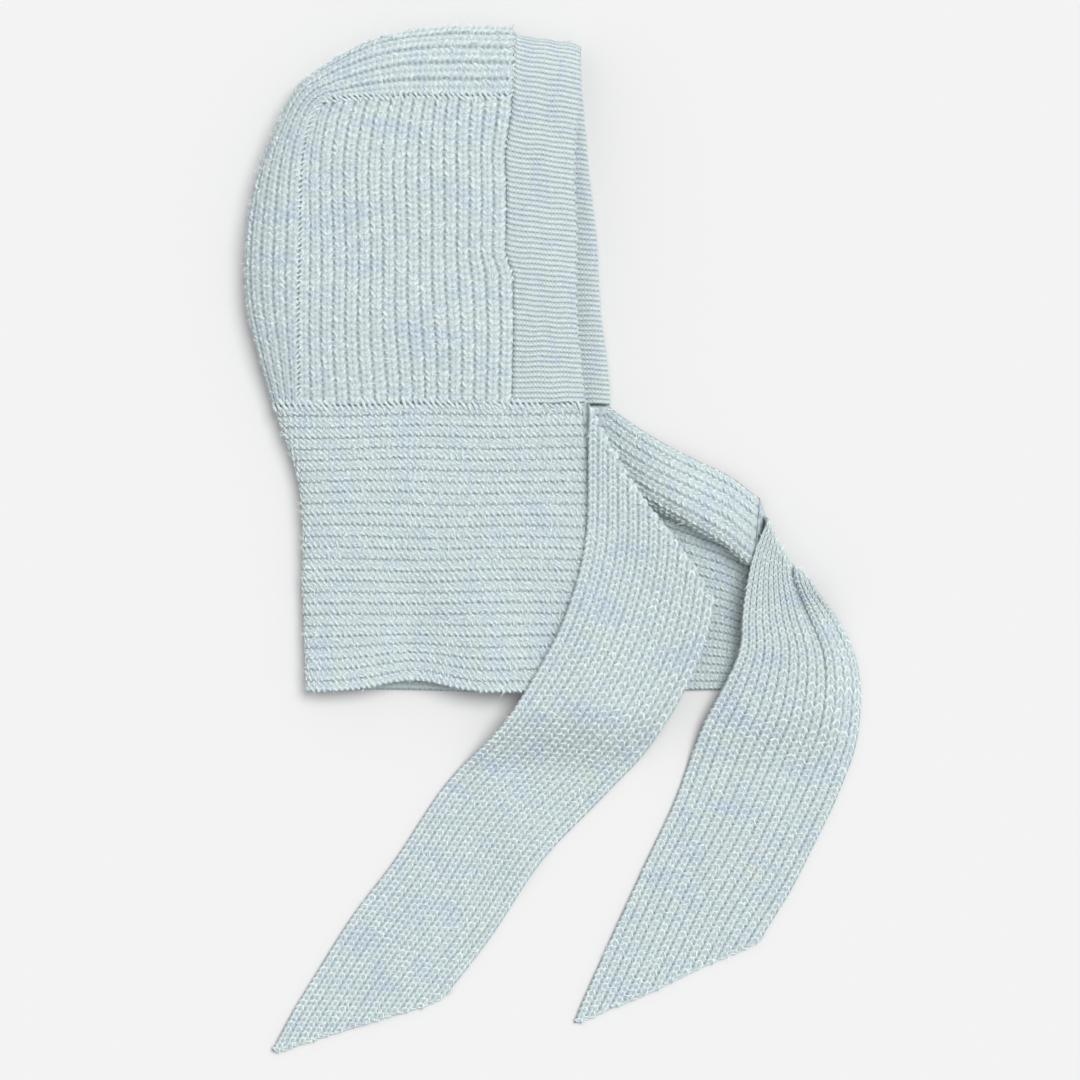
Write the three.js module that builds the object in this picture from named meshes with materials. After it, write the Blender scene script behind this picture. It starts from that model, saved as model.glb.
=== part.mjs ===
// A knitted hooded scarf, lying on its side on a table with its two ties spread out.
// Millimetres, +Z up from the table, +Y towards the top of the hood, +X towards the face opening.
// The plan is measured from the chin, where the face band, the collar and the ties come together.
import * as THREE from 'three';

// Knit
const knitThickness = 4.0;
const bandThickness = 7.0;
const seamGap = 0.3;
const layerGap = 2.0;
const ribDepth = 1.3;

// Hood
const hoodHeight = 300;
const hoodDepth = 212;
const bandWidth = 54;
const hoodLoft = 42;
const farSlide = 22;
const slideGap = 0.5;
const bandTopStep = 0.038;
const outlineRise = 11;
const hoodRibWidth = 10.1;
const crownRibWidth = 12.0;

// Collar
const collarHeight = 229;
const collarLoft = 24;
const collarRibWidth = 9.0;
const hemLift = 8;
const pleatReach = 137;
const pleatHeight = 13;

// Ties
const tieNearLength = 599;
const tieNearWidth = 112;
const tieFarLength = 438;
const tieFarWidth = 120;
const tieRibWidth = 7.7;
const foldLoft = 9;
const dropStart = 12;
const dropLength = 56;

// Rolls at the outline, where each layer turns down to the table
const rollPower = 2.4;
const rollReach = 52;
const seamBlend = 0.3;

// Chin, collar ends and pleat
const chinStep = 5;
const collarEndLead = 6;
const collarEndLean = 14;
const pleatStart = 16;
const pleatRamp = 70;
const pleatEndLean = 14;
const pleatEarly = 0.93;
const pleatBend = 0.88;
const pleatLateFrom = 0.8;

// Waves and lifted hem of the collar's upper layer
const waveHeight = 3.2;
const waveWidth = 22;
const waveFrom = 0.4;
const waveRamp = 0.4;
const hemLiftAcross = 0.413;
const hemLiftWidth = 34;
const hemLiftFrom = 0.75;

// Folds of the ties
const foldBulge = 3;
const foldRest = 9;
const foldRunOut = 1.2;
const foldLoftSpread = 0.09;
const nearTieRestReach = 101;
const farTieLead = 6.4;
const farTieDrop = 0.395;
const farFoldLift = 2;
const farBodyLift = 4;
const farSettledBy = 0.4;

// Fall and crease on the hem side of the far tie
const farFallFrom = 0.72;
const farFallStart = 0.1;
const farFallRamp = 0.15;
const creaseDepth = 5;
const creaseAt = 0.68;
const creaseWidth = 0.06;
const creaseEnd = 0.34;
const creaseFade = 0.2;

// Face band's section: where it is doubled, and where it thins to its front edge
const bandDoubledBy = 0.3;
const bandThinFrom = 0.65;
const bandThinning = 0.85;

// Grid of the walls
const samplesPerRib = 2;
const crownStripWidth = 136;
const sidePanelShare = 0.8;
const pressedWithin = 0.6;
const courseStep = 0.02;

// One row per section across the crown strip, from the face band to the nape. back and up place the
// outline, seamBack and seamUp the seam, as shares of the hood's depth and height.
const crownSections = [
  { at: 0.0, back: 0.0, up: 1.005, seamBack: 0.0, seamUp: 0.811 },
  { at: 0.119, back: 0.249, up: 1.004, seamBack: 0.219, seamUp: 0.806 },
  { at: 0.262, back: 0.544, up: 0.964, seamBack: 0.445, seamUp: 0.803 },
  { at: 0.398, back: 0.79, up: 0.865, seamBack: 0.66, seamUp: 0.797 },
  { at: 0.45, back: 0.856, up: 0.8, seamBack: 0.717, seamUp: 0.784 },
  { at: 0.49, back: 0.897, up: 0.738, seamBack: 0.752, seamUp: 0.735 },
  { at: 0.565, back: 0.956, up: 0.634, seamBack: 0.781, seamUp: 0.64 },
  { at: 0.653, back: 0.997, up: 0.507, seamBack: 0.792, seamUp: 0.512 },
  { at: 0.73, back: 1.007, up: 0.392, seamBack: 0.796, seamUp: 0.392 },
  { at: 0.828, back: 1.0, up: 0.248, seamBack: 0.8, seamUp: 0.245 },
  { at: 0.913, back: 0.964, up: 0.125, seamBack: 0.804, seamUp: 0.125 },
  { at: 1.0, back: 0.905, up: 0.0, seamBack: 0.804, seamUp: 0.0 },
];
const crownCorner = 0.45;
const crownTopSteps = 8;
const crownBackSteps = 9;

// Height of the upper layer of the hood, as shares of the hood's loft: front, middle and back of it
// at heights that are shares of the hood's height.
const hoodHeights = [
  { at: 0.0, front: 0.52, middle: 0.6, back: 0.5 },
  { at: 0.25, front: 0.66, middle: 0.86, back: 0.72 },
  { at: 0.55, front: 0.78, middle: 1.0, back: 0.84 },
  { at: 0.8, front: 0.8, middle: 1.0, back: 0.84 },
  { at: 1.0, front: 0.72, middle: 0.9, back: 0.76 },
];

// The same for the collar, as shares of its own loft, down from the hood's seam to the hem.
const collarHeights = [
  { at: 0.0, front: 0.91, middle: 1.05, back: 0.875 },
  { at: 0.4, front: 0.84, middle: 0.92, back: 0.8 },
  { at: 0.75, front: 0.86, middle: 0.72, back: 0.72 },
  { at: 1.0, front: 0.8, middle: 0.74, back: 0.66 },
];

// Outline of the collar at the back: how far it lies inside the hood's deepest point, as shares of
// the hood's depth, down the collar.
const collarBack = [
  { at: 0.0, back: 0.905 },
  { at: 0.13, back: 0.852 },
  { at: 0.22, back: 0.82 },
  { at: 0.35, back: 0.803 },
  { at: 0.7, back: 0.795 },
  { at: 1.0, back: 0.788 },
];

// Front edge of the face band: inset of the upper edge and slide of the lower one, as shares.
const bandFront = [
  { at: 0.0, inset: -0.04, slide: 1.05 },
  { at: 0.1, inset: 0.01, slide: 0.97 },
  { at: 0.3, inset: 0.05, slide: 0.72 },
  { at: 0.5, inset: 0.06, slide: 0.54 },
  { at: 0.68, inset: 0.07, slide: 0.25 },
  { at: 0.85, inset: 0.03, slide: 0.0 },
  { at: 1.0, inset: 0.0, slide: 0.0 },
];

// Cross-section of the pleat in the far part of the collar, for ribs from its top edge to its hem.
// drop is how far down a rib lies at the pleat's end, as a share of the collar's height, and rise its
// height there, as a share of the pleat's.
const pleatSections = [
  { at: 0.0, drop: 0.325, rise: 0.25 },
  { at: 0.1, drop: 0.42, rise: 0.72 },
  { at: 0.2, drop: 0.52, rise: 1.0 },
  { at: 0.26, drop: 0.555, rise: 0.7 },
  { at: 0.34, drop: 0.575, rise: 0.14 },
  { at: 0.42, drop: 0.61, rise: 0.0 },
  { at: 1.0, drop: 1.0, rise: 0.0 },
];

// Courses across each tie, from where it folds to its point. across and down place the left edge as
// shares of the tie's length, width is a share of its width, turn is the course's slope in degrees.
const tieNearSections = [
  { at: 0.0, across: 0.0, down: 0.0, width: 0.921, turn: 0 },
  { at: 0.11, across: 0.0, down: 0.11, width: 0.926, turn: -5.8 },
  { at: 0.209, across: -0.007, down: 0.208, width: 0.966, turn: -7.7 },
  { at: 0.279, across: -0.027, down: 0.276, width: 0.995, turn: -16.3 },
  { at: 0.371, across: -0.069, down: 0.358, width: 0.972, turn: -31.9 },
  { at: 0.446, across: -0.11, down: 0.421, width: 0.898, turn: -35.0 },
  { at: 0.563, across: -0.19, down: 0.507, width: 0.893, turn: -36.9 },
  { at: 0.704, across: -0.267, down: 0.624, width: 0.872, turn: -36.9 },
  { at: 0.846, across: -0.351, down: 0.739, width: 0.868, turn: -37.5 },
  { at: 1.0, across: -0.427, down: 0.872, width: 0.786, turn: -36.9 },
];
const tieNearEnds = { foldAtHem: 0.235, foldBend: 0.8, pointAtHem: 0.8 };

const tieFarSections = [
  { at: 0.0, across: 0.0, down: 0.0, width: 0.27, turn: -32.9 },
  { at: 0.083, across: -0.027, down: 0.078, width: 0.42, turn: -19.2 },
  { at: 0.178, across: -0.046, down: 0.172, width: 0.62, turn: -1.2 },
  { at: 0.248, across: -0.051, down: 0.241, width: 0.785, turn: -4.7 },
  { at: 0.326, across: -0.08, down: 0.314, width: 0.965, turn: -17.8 },
  { at: 0.398, across: -0.113, down: 0.378, width: 1.01, turn: -23.1 },
  { at: 0.558, across: -0.17, down: 0.526, width: 0.972, turn: -22.9 },
  { at: 0.708, across: -0.233, down: 0.663, width: 0.915, turn: -24.0 },
  { at: 0.855, across: -0.298, down: 0.8, width: 0.885, turn: -24.1 },
  { at: 1.0, across: -0.352, down: 0.936, width: 0.83, turn: -24.1 },
];
const tieFarEnds = { foldAtHem: 0.083, foldBend: 1.0, pointAtHem: 0.725 };

// Look
const yarnColour = 0xcbdfe4;
const yarnRoughness = 0.95;

// Soft waves across the collar's upper layer, as shares of the way from the chin to the deepest
// point at the back.
const collarWaves = [
  { across: 0.316, rise: 1.0 },
  { across: 0.523, rise: -0.9 },
];

const bandSeamX = -(bandWidth + chinStep);
const deepestX = bandSeamX - hoodDepth;
const halfKnit = knitThickness / 2;
const halfGap = seamGap / 2;
const layerStep = knitThickness + layerGap;

const mix = (from, to, share) => from + (to - from) * share;
const clamp = (value) => Math.min(1, Math.max(0, value));
const smooth = (value) => clamp(value) ** 2 * (3 - 2 * clamp(value));
const bell = (value) => Math.exp(-value * value);
const degrees = Math.PI / 180;

// Reads a column of a table at a share, on a smooth curve through its rows.
function read(rows, column, at) {
  const last = rows.length - 1;
  let k = 0;
  while (k < last - 1 && at > rows[k + 1].at) k += 1;
  const slope = (i) => {
    const before = rows[Math.max(0, i - 1)];
    const after = rows[Math.min(last, i + 1)];
    return (after[column] - before[column]) / (after.at - before.at);
  };
  const step = rows[k + 1].at - rows[k].at;
  const t = clamp((at - rows[k].at) / step);
  const leaving = (1 + 2 * t) * (1 - t) ** 2 * rows[k][column] + t * (1 - t) ** 2 * step * slope(k);
  return leaving + t * t * (3 - 2 * t) * rows[k + 1][column] - t * t * (1 - t) * step * slope(k + 1);
}

// Reads front, middle and back columns on a curve from the face opening to the back.
function readAcross(rows, at, back) {
  const front = read(rows, 'front', at) * (1 - back) * (1 - 2 * back);
  const middle = read(rows, 'middle', at) * 4 * back * (1 - back);
  return front + middle + read(rows, 'back', at) * back * (2 * back - 1);
}

// Height of the middle of the upper layer of hood and collar above the table.
function upperHeight(x, y) {
  const back = clamp(x / deepestX);
  const hood = hoodLoft * readAcross(hoodHeights, clamp(y / hoodHeight), back);
  if (y >= 0) return hood;
  const down = clamp(-y / collarHeight);
  let collar = collarLoft * readAcross(collarHeights, down, back);
  for (const wave of collarWaves) {
    const away = (x - wave.across * deepestX) / waveWidth;
    collar += waveHeight * wave.rise * bell(away) * smooth((down - waveFrom) / waveRamp);
  }
  return mix(hood, collar, smooth(down / seamBlend));
}

// The upper layer rolls down to the outline, where the knit stands outlineRise above the table.
function rolled(height, fromOutline) {
  const share = 1 - clamp(fromOutline / rollReach);
  return outlineRise + (height - outlineRise) * (1 - share ** rollPower) ** (1 / rollPower);
}

// A section folded round the outline: out along the upper layer, round, and back along the table.
// Each point has its distance out from the section's start and its height.
function foldedSection(reach, heightAt, lowerHeight) {
  const points = [{ out: 0, z: rolled(heightAt(0), reach) }];
  const steps = 20;
  for (let i = 0; i <= steps; i += 1) {
    const angle = (1 - i / steps) * 90 * degrees;
    const fromOutline = rollReach * (1 - Math.cos(angle) ** (2 / rollPower));
    if (fromOutline < reach) {
      const out = reach - fromOutline;
      points.push({ out, z: rolled(heightAt(out), fromOutline) });
    }
  }
  const radius = outlineRise - lowerHeight;
  const turnSteps = 6;
  for (let i = 1; i <= turnSteps; i += 1) {
    const angle = (i / turnSteps) * 90 * degrees;
    points.push({
      out: reach - radius * (1 - Math.cos(angle)),
      z: outlineRise - radius * Math.sin(angle),
    });
  }
  points.push({ out: 0, z: lowerHeight });
  return points;
}

// The point at a share of the length of a section.
function alongSection(points, share) {
  const lengths = [0];
  for (let i = 1; i < points.length; i += 1) {
    const stretch = Math.hypot(points[i].out - points[i - 1].out, points[i].z - points[i - 1].z);
    lengths.push(lengths[i - 1] + stretch);
  }
  const target = share * lengths[points.length - 1];
  let k = 0;
  while (k < points.length - 2 && lengths[k + 1] < target) k += 1;
  const t = clamp((target - lengths[k]) / (lengths[k + 1] - lengths[k]));
  return {
    out: mix(points[k].out, points[k + 1].out, t),
    z: mix(points[k].z, points[k + 1].z, t),
  };
}

// A wall of knit round a grid of points at its middle. along counts the steps along the ribs and
// across the steps over them; seams names the axes that each edge's face may not lean along.
function knitWall(name, along, across, pointAt, options) {
  const { seams = {}, thicknessAt = () => knitThickness, ribs = true, outerUp = true } = options;
  const middle = [];
  for (let i = 0; i <= along; i += 1) {
    middle.push([]);
    for (let j = 0; j <= across; j += 1) middle[i].push(pointAt(i, j));
  }
  const normals = middle.map((row, i) => row.map((_, j) => {
    const du = new THREE.Vector3().subVectors(
      middle[Math.min(along, i + 1)][j],
      middle[Math.max(0, i - 1)][j],
    );
    const dv = new THREE.Vector3().subVectors(
      middle[i][Math.min(across, j + 1)],
      middle[i][Math.max(0, j - 1)],
    );
    const normal = du.cross(dv);
    const edges = [
      i === 0 ? seams.start : '',
      i === along ? seams.end : '',
      j === 0 ? seams.first : '',
      j === across ? seams.last : '',
    ];
    for (const axis of edges.join('')) normal[axis] = 0;
    return normal.normalize();
  }));
  const side = (normals[0][0].z > 0) === outerUp ? 1 : -1;
  const positions = [];
  const faceOffset = (i, j, face) => {
    const half = thicknessAt(i / along, j / across) / 2;
    const groove = ribs && j % samplesPerRib === 0 ? ribDepth : 0;
    const pressed = normals[i][j].z * face < 0 && middle[i][j].z < half + pressedWithin;
    return face * (half - (pressed ? 0 : groove));
  };
  for (const face of [side, -side]) {
    for (let i = 0; i <= along; i += 1) {
      for (let j = 0; j <= across; j += 1) {
        const point = middle[i][j].clone().addScaledVector(normals[i][j], faceOffset(i, j, face));
        positions.push(point.x, point.y, Math.max(0, point.z));
      }
    }
  }
  const index = (layer, i, j) => (layer * (along + 1) + i) * (across + 1) + j;
  const triangles = [];
  const quad = (a, b, c, d) => triangles.push(a, b, c, a, c, d);
  for (let i = 0; i < along; i += 1) {
    for (let j = 0; j < across; j += 1) {
      quad(index(0, i, j), index(0, i + 1, j), index(0, i + 1, j + 1), index(0, i, j + 1));
      quad(index(1, i, j), index(1, i, j + 1), index(1, i + 1, j + 1), index(1, i + 1, j));
    }
    quad(index(0, i, 0), index(1, i, 0), index(1, i + 1, 0), index(0, i + 1, 0));
    quad(index(0, i, across), index(0, i + 1, across), index(1, i + 1, across), index(1, i, across));
  }
  for (let j = 0; j < across; j += 1) {
    quad(index(0, 0, j), index(0, 0, j + 1), index(1, 0, j + 1), index(1, 0, j));
    quad(index(0, along, j), index(1, along, j), index(1, along, j + 1), index(0, along, j + 1));
  }
  if (side < 0) {
    for (let k = 0; k < triangles.length; k += 3) {
      [triangles[k], triangles[k + 1]] = [triangles[k + 1], triangles[k]];
    }
  }
  const geometry = new THREE.BufferGeometry();
  geometry.setAttribute('position', new THREE.Float32BufferAttribute(positions, 3));
  geometry.setIndex(triangles);
  geometry.computeVertexNormals();
  const material = new THREE.MeshStandardMaterial({ color: yarnColour, roughness: yarnRoughness });
  const mesh = new THREE.Mesh(geometry, material);
  mesh.name = name;
  return mesh;
}

const hoodX = (back) => bandSeamX - halfGap - back * hoodDepth;
const hoodY = (up) => halfGap + up * (hoodHeight - halfGap);

// Share along the crown strip of each of its sections, with one at the seam's corner.
const crownStations = [];
for (let i = 0; i < crownTopSteps; i += 1) crownStations.push((crownCorner * i) / crownTopSteps);
for (let i = 0; i <= crownBackSteps; i += 1) crownStations.push(mix(crownCorner, 1, i / crownBackSteps));

// The seam runs straight from one section of the crown strip to the next.
function crownSeam(at) {
  let k = 0;
  while (k < crownStations.length - 2 && crownStations[k + 1] < at) k += 1;
  const share = (at - crownStations[k]) / (crownStations[k + 1] - crownStations[k]);
  const along = (column) => mix(
    read(crownSections, column, crownStations[k]),
    read(crownSections, column, crownStations[k + 1]),
    share,
  );
  return new THREE.Vector2(hoodX(along('seamBack')), hoodY(along('seamUp')));
}

// The crown strip: each section leaves the near seam, folds round the outline and comes back to
// the far seam on the table.
function crownPanel() {
  const ribCount = Math.round(crownStripWidth / crownRibWidth);
  const across = ribCount * samplesPerRib;
  const along = crownTopSteps + crownBackSteps;
  const sections = [];
  for (let i = 0; i <= along; i += 1) {
    const at = crownStations[i];
    const seam = crownSeam(at);
    const outline = new THREE.Vector2(
      hoodX(read(crownSections, 'back', at)),
      hoodY(read(crownSections, 'up', at)),
    );
    const direction = outline.clone().sub(seam);
    const reach = direction.length() - halfKnit - halfGap;
    direction.normalize();
    const start = seam.clone().addScaledVector(direction, halfGap);
    const heightAt = (out) => upperHeight(start.x + direction.x * out, start.y + direction.y * out);
    sections.push({ start, direction, points: foldedSection(reach, heightAt, halfKnit) });
  }
  const pointAt = (i, j) => {
    const { start, direction, points } = sections[i];
    const { out, z } = alongSection(points, j / across);
    return new THREE.Vector3(start.x + direction.x * out, start.y + direction.y * out, z);
  };
  const seams = { start: 'x', end: 'y', first: 'xy', last: 'xy' };
  return knitWall('crown_panel', along, across, pointAt, { seams });
}

// A side panel fills the plan between the crown's seam, the band's seam and the collar's seam. Its
// ribs stand on the collar's seam.
function hoodSide(name, upper) {
  const ribCount = Math.round((hoodDepth * sidePanelShare) / hoodRibWidth);
  const across = upper ? ribCount * samplesPerRib : ribCount;
  const along = crownBackSteps;
  const corner = crownSeam(crownCorner);
  const pointAt = (i, j) => {
    const up = i / along;
    const forward = j / across;
    const backSeam = mix(1, crownCorner, up);
    const back = crownSeam(backSeam);
    const top = crownSeam(crownCorner * (1 - forward));
    const topForward = (top.x - corner.x) / (hoodX(0) - corner.x);
    const y = mix(halfGap, top.y - halfGap, mix(back.y / corner.y, up, forward));
    const slide = upper ? 0 : farSlide * read(bandFront, 'slide', y / hoodHeight) - slideGap;
    const x = mix(back.x + halfGap, hoodX(0) + slide, mix(forward, topForward, up));
    if (!upper) return new THREE.Vector3(x, y, halfKnit);
    const outlineX = hoodX(read(crownSections, 'back', backSeam)) + halfKnit;
    return new THREE.Vector3(x, y, rolled(upperHeight(x, y), x - outlineX));
  };
  const seams = { start: 'y', end: 'xy', first: 'xy', last: 'x' };
  return knitWall(name, along, across, pointAt, { seams, ribs: upper, outerUp: upper });
}

// The doubled face band: one loop from the chin over the top and back to the chin, its lower half
// slid forward on the table.
function faceBand() {
  const along = 5;
  const across = 28;
  const halfBand = bandThickness / 2;
  const thicknessAt = (forward) => {
    const body = mix(knitThickness, bandThickness, smooth(forward / bandDoubledBy));
    const edge = clamp((forward - bandThinFrom) / (1 - bandThinFrom));
    return body * Math.sqrt(1 - bandThinning * edge ** 2);
  };
  const columns = [];
  for (let i = 0; i <= along; i += 1) {
    const x = mix(bandSeamX + halfGap, -chinStep, i / along);
    const start = halfGap;
    const topY = hoodHeight * (1 - bandTopStep * Math.sqrt(i / along));
    const reach = topY - start - halfBand;
    const heightAt = (out) => upperHeight(x, start + out);
    columns.push({ x, start, points: foldedSection(reach, heightAt, halfBand) });
  }
  const pointAt = (i, j) => {
    const { x, start, points } = columns[i];
    const { out, z } = alongSection(points, j / across);
    const y = start + out;
    const up = clamp(y / hoodHeight);
    const lower = j > across / 2;
    const slide = lower ? Math.max(0, farSlide * read(bandFront, 'slide', up)) : 0;
    const inset = lower ? 0 : bandWidth * read(bandFront, 'inset', up);
    return new THREE.Vector3(x + slide - inset * (i / along), y, z);
  };
  const seams = { start: 'x', first: 'y', last: 'y' };
  return knitWall('face_band', along, across, pointAt, { seams, thicknessAt, ribs: false });
}

// Near end of the collar's upper layer and far end of its lower one, at a share down the collar.
const collarNearEnd = (down) => -collarEndLead + collarEndLean * (1 - (1 - down) ** 3);
const collarFarEnd = (down) => pleatReach - pleatEndLean * down;

// How far the collar's lower layer has passed into its pleat at a distance right of the chin.
function pleatShare(x, down) {
  const share = clamp((x - pleatStart) / (collarFarEnd(down) - pleatStart));
  const late = smooth((share - pleatLateFrom) / (1 - pleatLateFrom));
  return pleatEarly * share ** pleatBend + (1 - pleatEarly) * late;
}

// A point of the collar's lower layer right of the chin, where its ribs run into the pleat.
function pleatPoint(x, down) {
  const drop = mix(down, read(pleatSections, 'drop', down), pleatShare(x, down));
  const rise = pleatHeight * read(pleatSections, 'rise', down) * smooth((x - pleatStart) / pleatRamp);
  return new THREE.Vector3(x, -halfGap - drop * (collarHeight - halfGap), halfKnit + rise);
}

// The collar: from under the near tie back along the upper layer, round the nape, forward along the
// table and into the pleat below the far tie.
function neckCollar() {
  const ribCount = Math.round(collarHeight / collarRibWidth);
  const across = ribCount * samplesPerRib;
  const steps = { upper: 5, roll: 4, turn: 2, lower: 1, pleat: 5 };
  const along = steps.upper + steps.roll + steps.turn + steps.lower + steps.pleat;
  const pointAt = (i, j) => {
    const down = j / across;
    const y = -halfGap - down * (collarHeight - halfGap);
    const nearX = collarNearEnd(down);
    const outlineX = hoodX(read(collarBack, 'back', down)) + halfKnit;
    const upperPoint = (x) => {
      const away = (x - hemLiftAcross * deepestX) / hemLiftWidth;
      const lift = hemLift * bell(away) * smooth((down - hemLiftFrom) / (1 - hemLiftFrom));
      return new THREE.Vector3(x, y + lift, rolled(upperHeight(x, y), x - outlineX));
    };
    let k = i;
    if (k <= steps.upper) return upperPoint(mix(nearX, outlineX + rollReach, k / steps.upper));
    k -= steps.upper;
    if (k <= steps.roll) {
      const angle = (1 - k / steps.roll) * 90 * degrees;
      return upperPoint(outlineX + rollReach * (1 - Math.cos(angle) ** (2 / rollPower)));
    }
    k -= steps.roll;
    const radius = outlineRise - halfKnit;
    if (k <= steps.turn) {
      const angle = (k / steps.turn) * 90 * degrees;
      const x = outlineX + radius * (1 - Math.cos(angle));
      return new THREE.Vector3(x, y, outlineRise - radius * Math.sin(angle));
    }
    k -= steps.turn;
    if (k <= steps.lower) {
      return new THREE.Vector3(mix(outlineX + radius, pleatStart, k / steps.lower), y, halfKnit);
    }
    k -= steps.lower;
    return pleatPoint(mix(pleatStart, collarFarEnd(down), k / steps.pleat), down);
  };
  const seams = { start: 'x', end: 'x', first: 'y' };
  return knitWall('neck_collar', along, across, pointAt, { seams });
}

// A tie: a short lower run from the collar's end, a turn over its fold, and a long upper run to the
// slanted point. course gives the plan of the upper run, restAt its height.
function tiePanel(name, tie) {
  const ribCount = Math.round(tie.width / tieRibWidth);
  const across = ribCount * samplesPerRib;
  const steps = { lower: 1, turn: 4, upper: 10 };
  const along = steps.lower + steps.turn + steps.upper;
  const course = (at, down) => {
    const turn = read(tie.sections, 'turn', at) * degrees;
    const width = tie.width * read(tie.sections, 'width', at) * down;
    return new THREE.Vector2(
      tie.start.x + tie.length * read(tie.sections, 'across', at) + width * Math.cos(turn),
      tie.start.y - tie.length * read(tie.sections, 'down', at) + width * Math.sin(turn),
    );
  };
  const pointAt = (i, j) => {
    const down = j / across;
    const foldAt = tie.ends.foldAtHem * down ** tie.ends.foldBend;
    const endAt = mix(1, tie.ends.pointAtHem, down);
    const begin = tie.beginAt(down);
    const fold = course(foldAt, down);
    const inward = fold.clone().sub(new THREE.Vector2(begin.x, begin.y)).normalize();
    const onward = course(foldAt + courseStep, down).sub(fold).normalize();
    const bulge = foldBulge * (1 + Math.sqrt(down));
    const low = tie.foldHeight(down);
    const lift = tie.liftAt(foldAt, down, fold);
    if (i < steps.lower) {
      const leave = fold.clone().addScaledVector(inward, -bulge);
      const share = i / steps.lower;
      return new THREE.Vector3(
        mix(begin.x, leave.x, share),
        mix(begin.y, leave.y, share),
        mix(begin.z, low, smooth(share)),
      );
    }
    if (i <= steps.lower + steps.turn) {
      const angle = ((i - steps.lower) / steps.turn - 0.5) * 180 * degrees;
      const run = angle < 0 ? inward.clone().negate() : onward;
      const plan = fold.clone().addScaledVector(run, bulge * (1 - Math.cos(angle)));
      return new THREE.Vector3(plan.x, plan.y, mix(low, lift, (1 + Math.sin(angle)) / 2));
    }
    const share = (i - steps.lower - steps.turn) / steps.upper;
    const at = mix(foldAt + (foldRunOut * bulge) / tie.length, endAt, share);
    const plan = course(at, down);
    return new THREE.Vector3(plan.x, plan.y, tie.liftAt(at, down, plan));
  };
  return knitWall(name, along, across, pointAt, { seams: { start: 'x' }, outerUp: tie.outerUp });
}

// How much of its height over the collar a tie still has, below the collar's hem.
const overHem = (y) => 1 - smooth((-y - collarHeight - dropStart) / dropLength);

const nearTie = {
  start: new THREE.Vector2(0, 0),
  length: tieNearLength,
  width: tieNearWidth,
  sections: tieNearSections,
  ends: tieNearEnds,
  outerUp: true,
  beginAt: (down) => {
    const x = collarNearEnd(down);
    const y = -halfGap - down * (collarHeight - halfGap);
    return new THREE.Vector3(x + seamGap, y, upperHeight(x, y));
  },
  foldHeight: (down) => mix(upperHeight(0, 0), foldRest, smooth(down)),
  liftAt: (at, down, plan) => {
    const y = Math.min(0, plan.y);
    const rest = clamp(plan.x / nearTieRestReach);
    const under = mix(upperHeight(Math.min(0, plan.x), y), foldRest, rest);
    const past = at - tieNearEnds.foldAtHem * down ** tieNearEnds.foldBend;
    const loft = foldLoft * Math.sqrt(down) * bell(past / foldLoftSpread);
    return mix(halfKnit, under + layerStep + loft, overHem(y));
  },
};

const farTie = {
  start: new THREE.Vector2(pleatReach + farTieLead, -collarHeight * farTieDrop),
  length: tieFarLength,
  width: tieFarWidth,
  sections: tieFarSections,
  ends: tieFarEnds,
  outerUp: false,
  beginAt: (down) => {
    const point = pleatPoint(collarFarEnd(down), down);
    point.x += seamGap;
    return point;
  },
  foldHeight: (down) => mix(halfKnit + pleatHeight * pleatSections[0].rise, foldRest, smooth(down * 2)),
  liftAt: (at, down, plan) => {
    const over = pleatHeight + halfKnit + layerStep;
    const body = halfKnit + layerStep + farBodyLift;
    const settled = mix(over + farFoldLift, body, smooth(at / farSettledBy));
    const fallen = smooth((down - farFallFrom) / (1 - farFallFrom));
    const side = 1 - fallen * smooth((at - farFallStart) / farFallRamp);
    const away = (down - creaseAt) / creaseWidth;
    const crease = creaseDepth * bell(away) * smooth((creaseEnd - at) / creaseFade);
    return mix(halfKnit, mix(halfKnit, settled, side) - crease * side, overHem(plan.y));
  },
};

const scarf = new THREE.Group();
scarf.add(
  crownPanel(),
  hoodSide('hood_side_near', true),
  hoodSide('hood_side_far', false),
  faceBand(),
  neckCollar(),
  tiePanel('tie_near', nearTie),
  tiePanel('tie_far', farTie),
);

// The origin is the middle of the footprint, on the table.
const footprint = new THREE.Box3().setFromObject(scarf, true);
const centre = footprint.getCenter(new THREE.Vector3());
scarf.position.set(-centre.x, -centre.y, -footprint.min.z);
scarf.updateMatrixWorld(true);

export default scarf;
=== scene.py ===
import math

import bpy
import numpy as np
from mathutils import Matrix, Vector


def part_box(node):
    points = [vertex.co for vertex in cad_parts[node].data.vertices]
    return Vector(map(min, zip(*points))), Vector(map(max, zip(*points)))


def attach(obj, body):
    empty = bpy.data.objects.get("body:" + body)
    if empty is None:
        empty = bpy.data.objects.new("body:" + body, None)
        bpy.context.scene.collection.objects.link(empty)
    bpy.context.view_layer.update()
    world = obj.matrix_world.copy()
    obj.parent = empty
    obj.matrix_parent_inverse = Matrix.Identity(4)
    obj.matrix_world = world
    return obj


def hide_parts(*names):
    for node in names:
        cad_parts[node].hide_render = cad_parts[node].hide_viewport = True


# A knitted hooded scarf that lies on its side, with its two ties spread out. Every panel is one
# sheet of rib knit. Its middle surface is worked out in millimetres from the chin, where the face
# band, the collar and the ties meet, and its stitches are raised on that surface.

bl_info = {
    "name": "Knitted hooded scarf",
    "version": (1, 0, 0),
    "blender": (4, 5, 0),
    "location": "View3D > Sidebar > Scarf",
    "description": "Builds the brushed rib-knit panels, seams and fuzz of a hooded scarf",
    "category": "Object",
}

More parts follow.
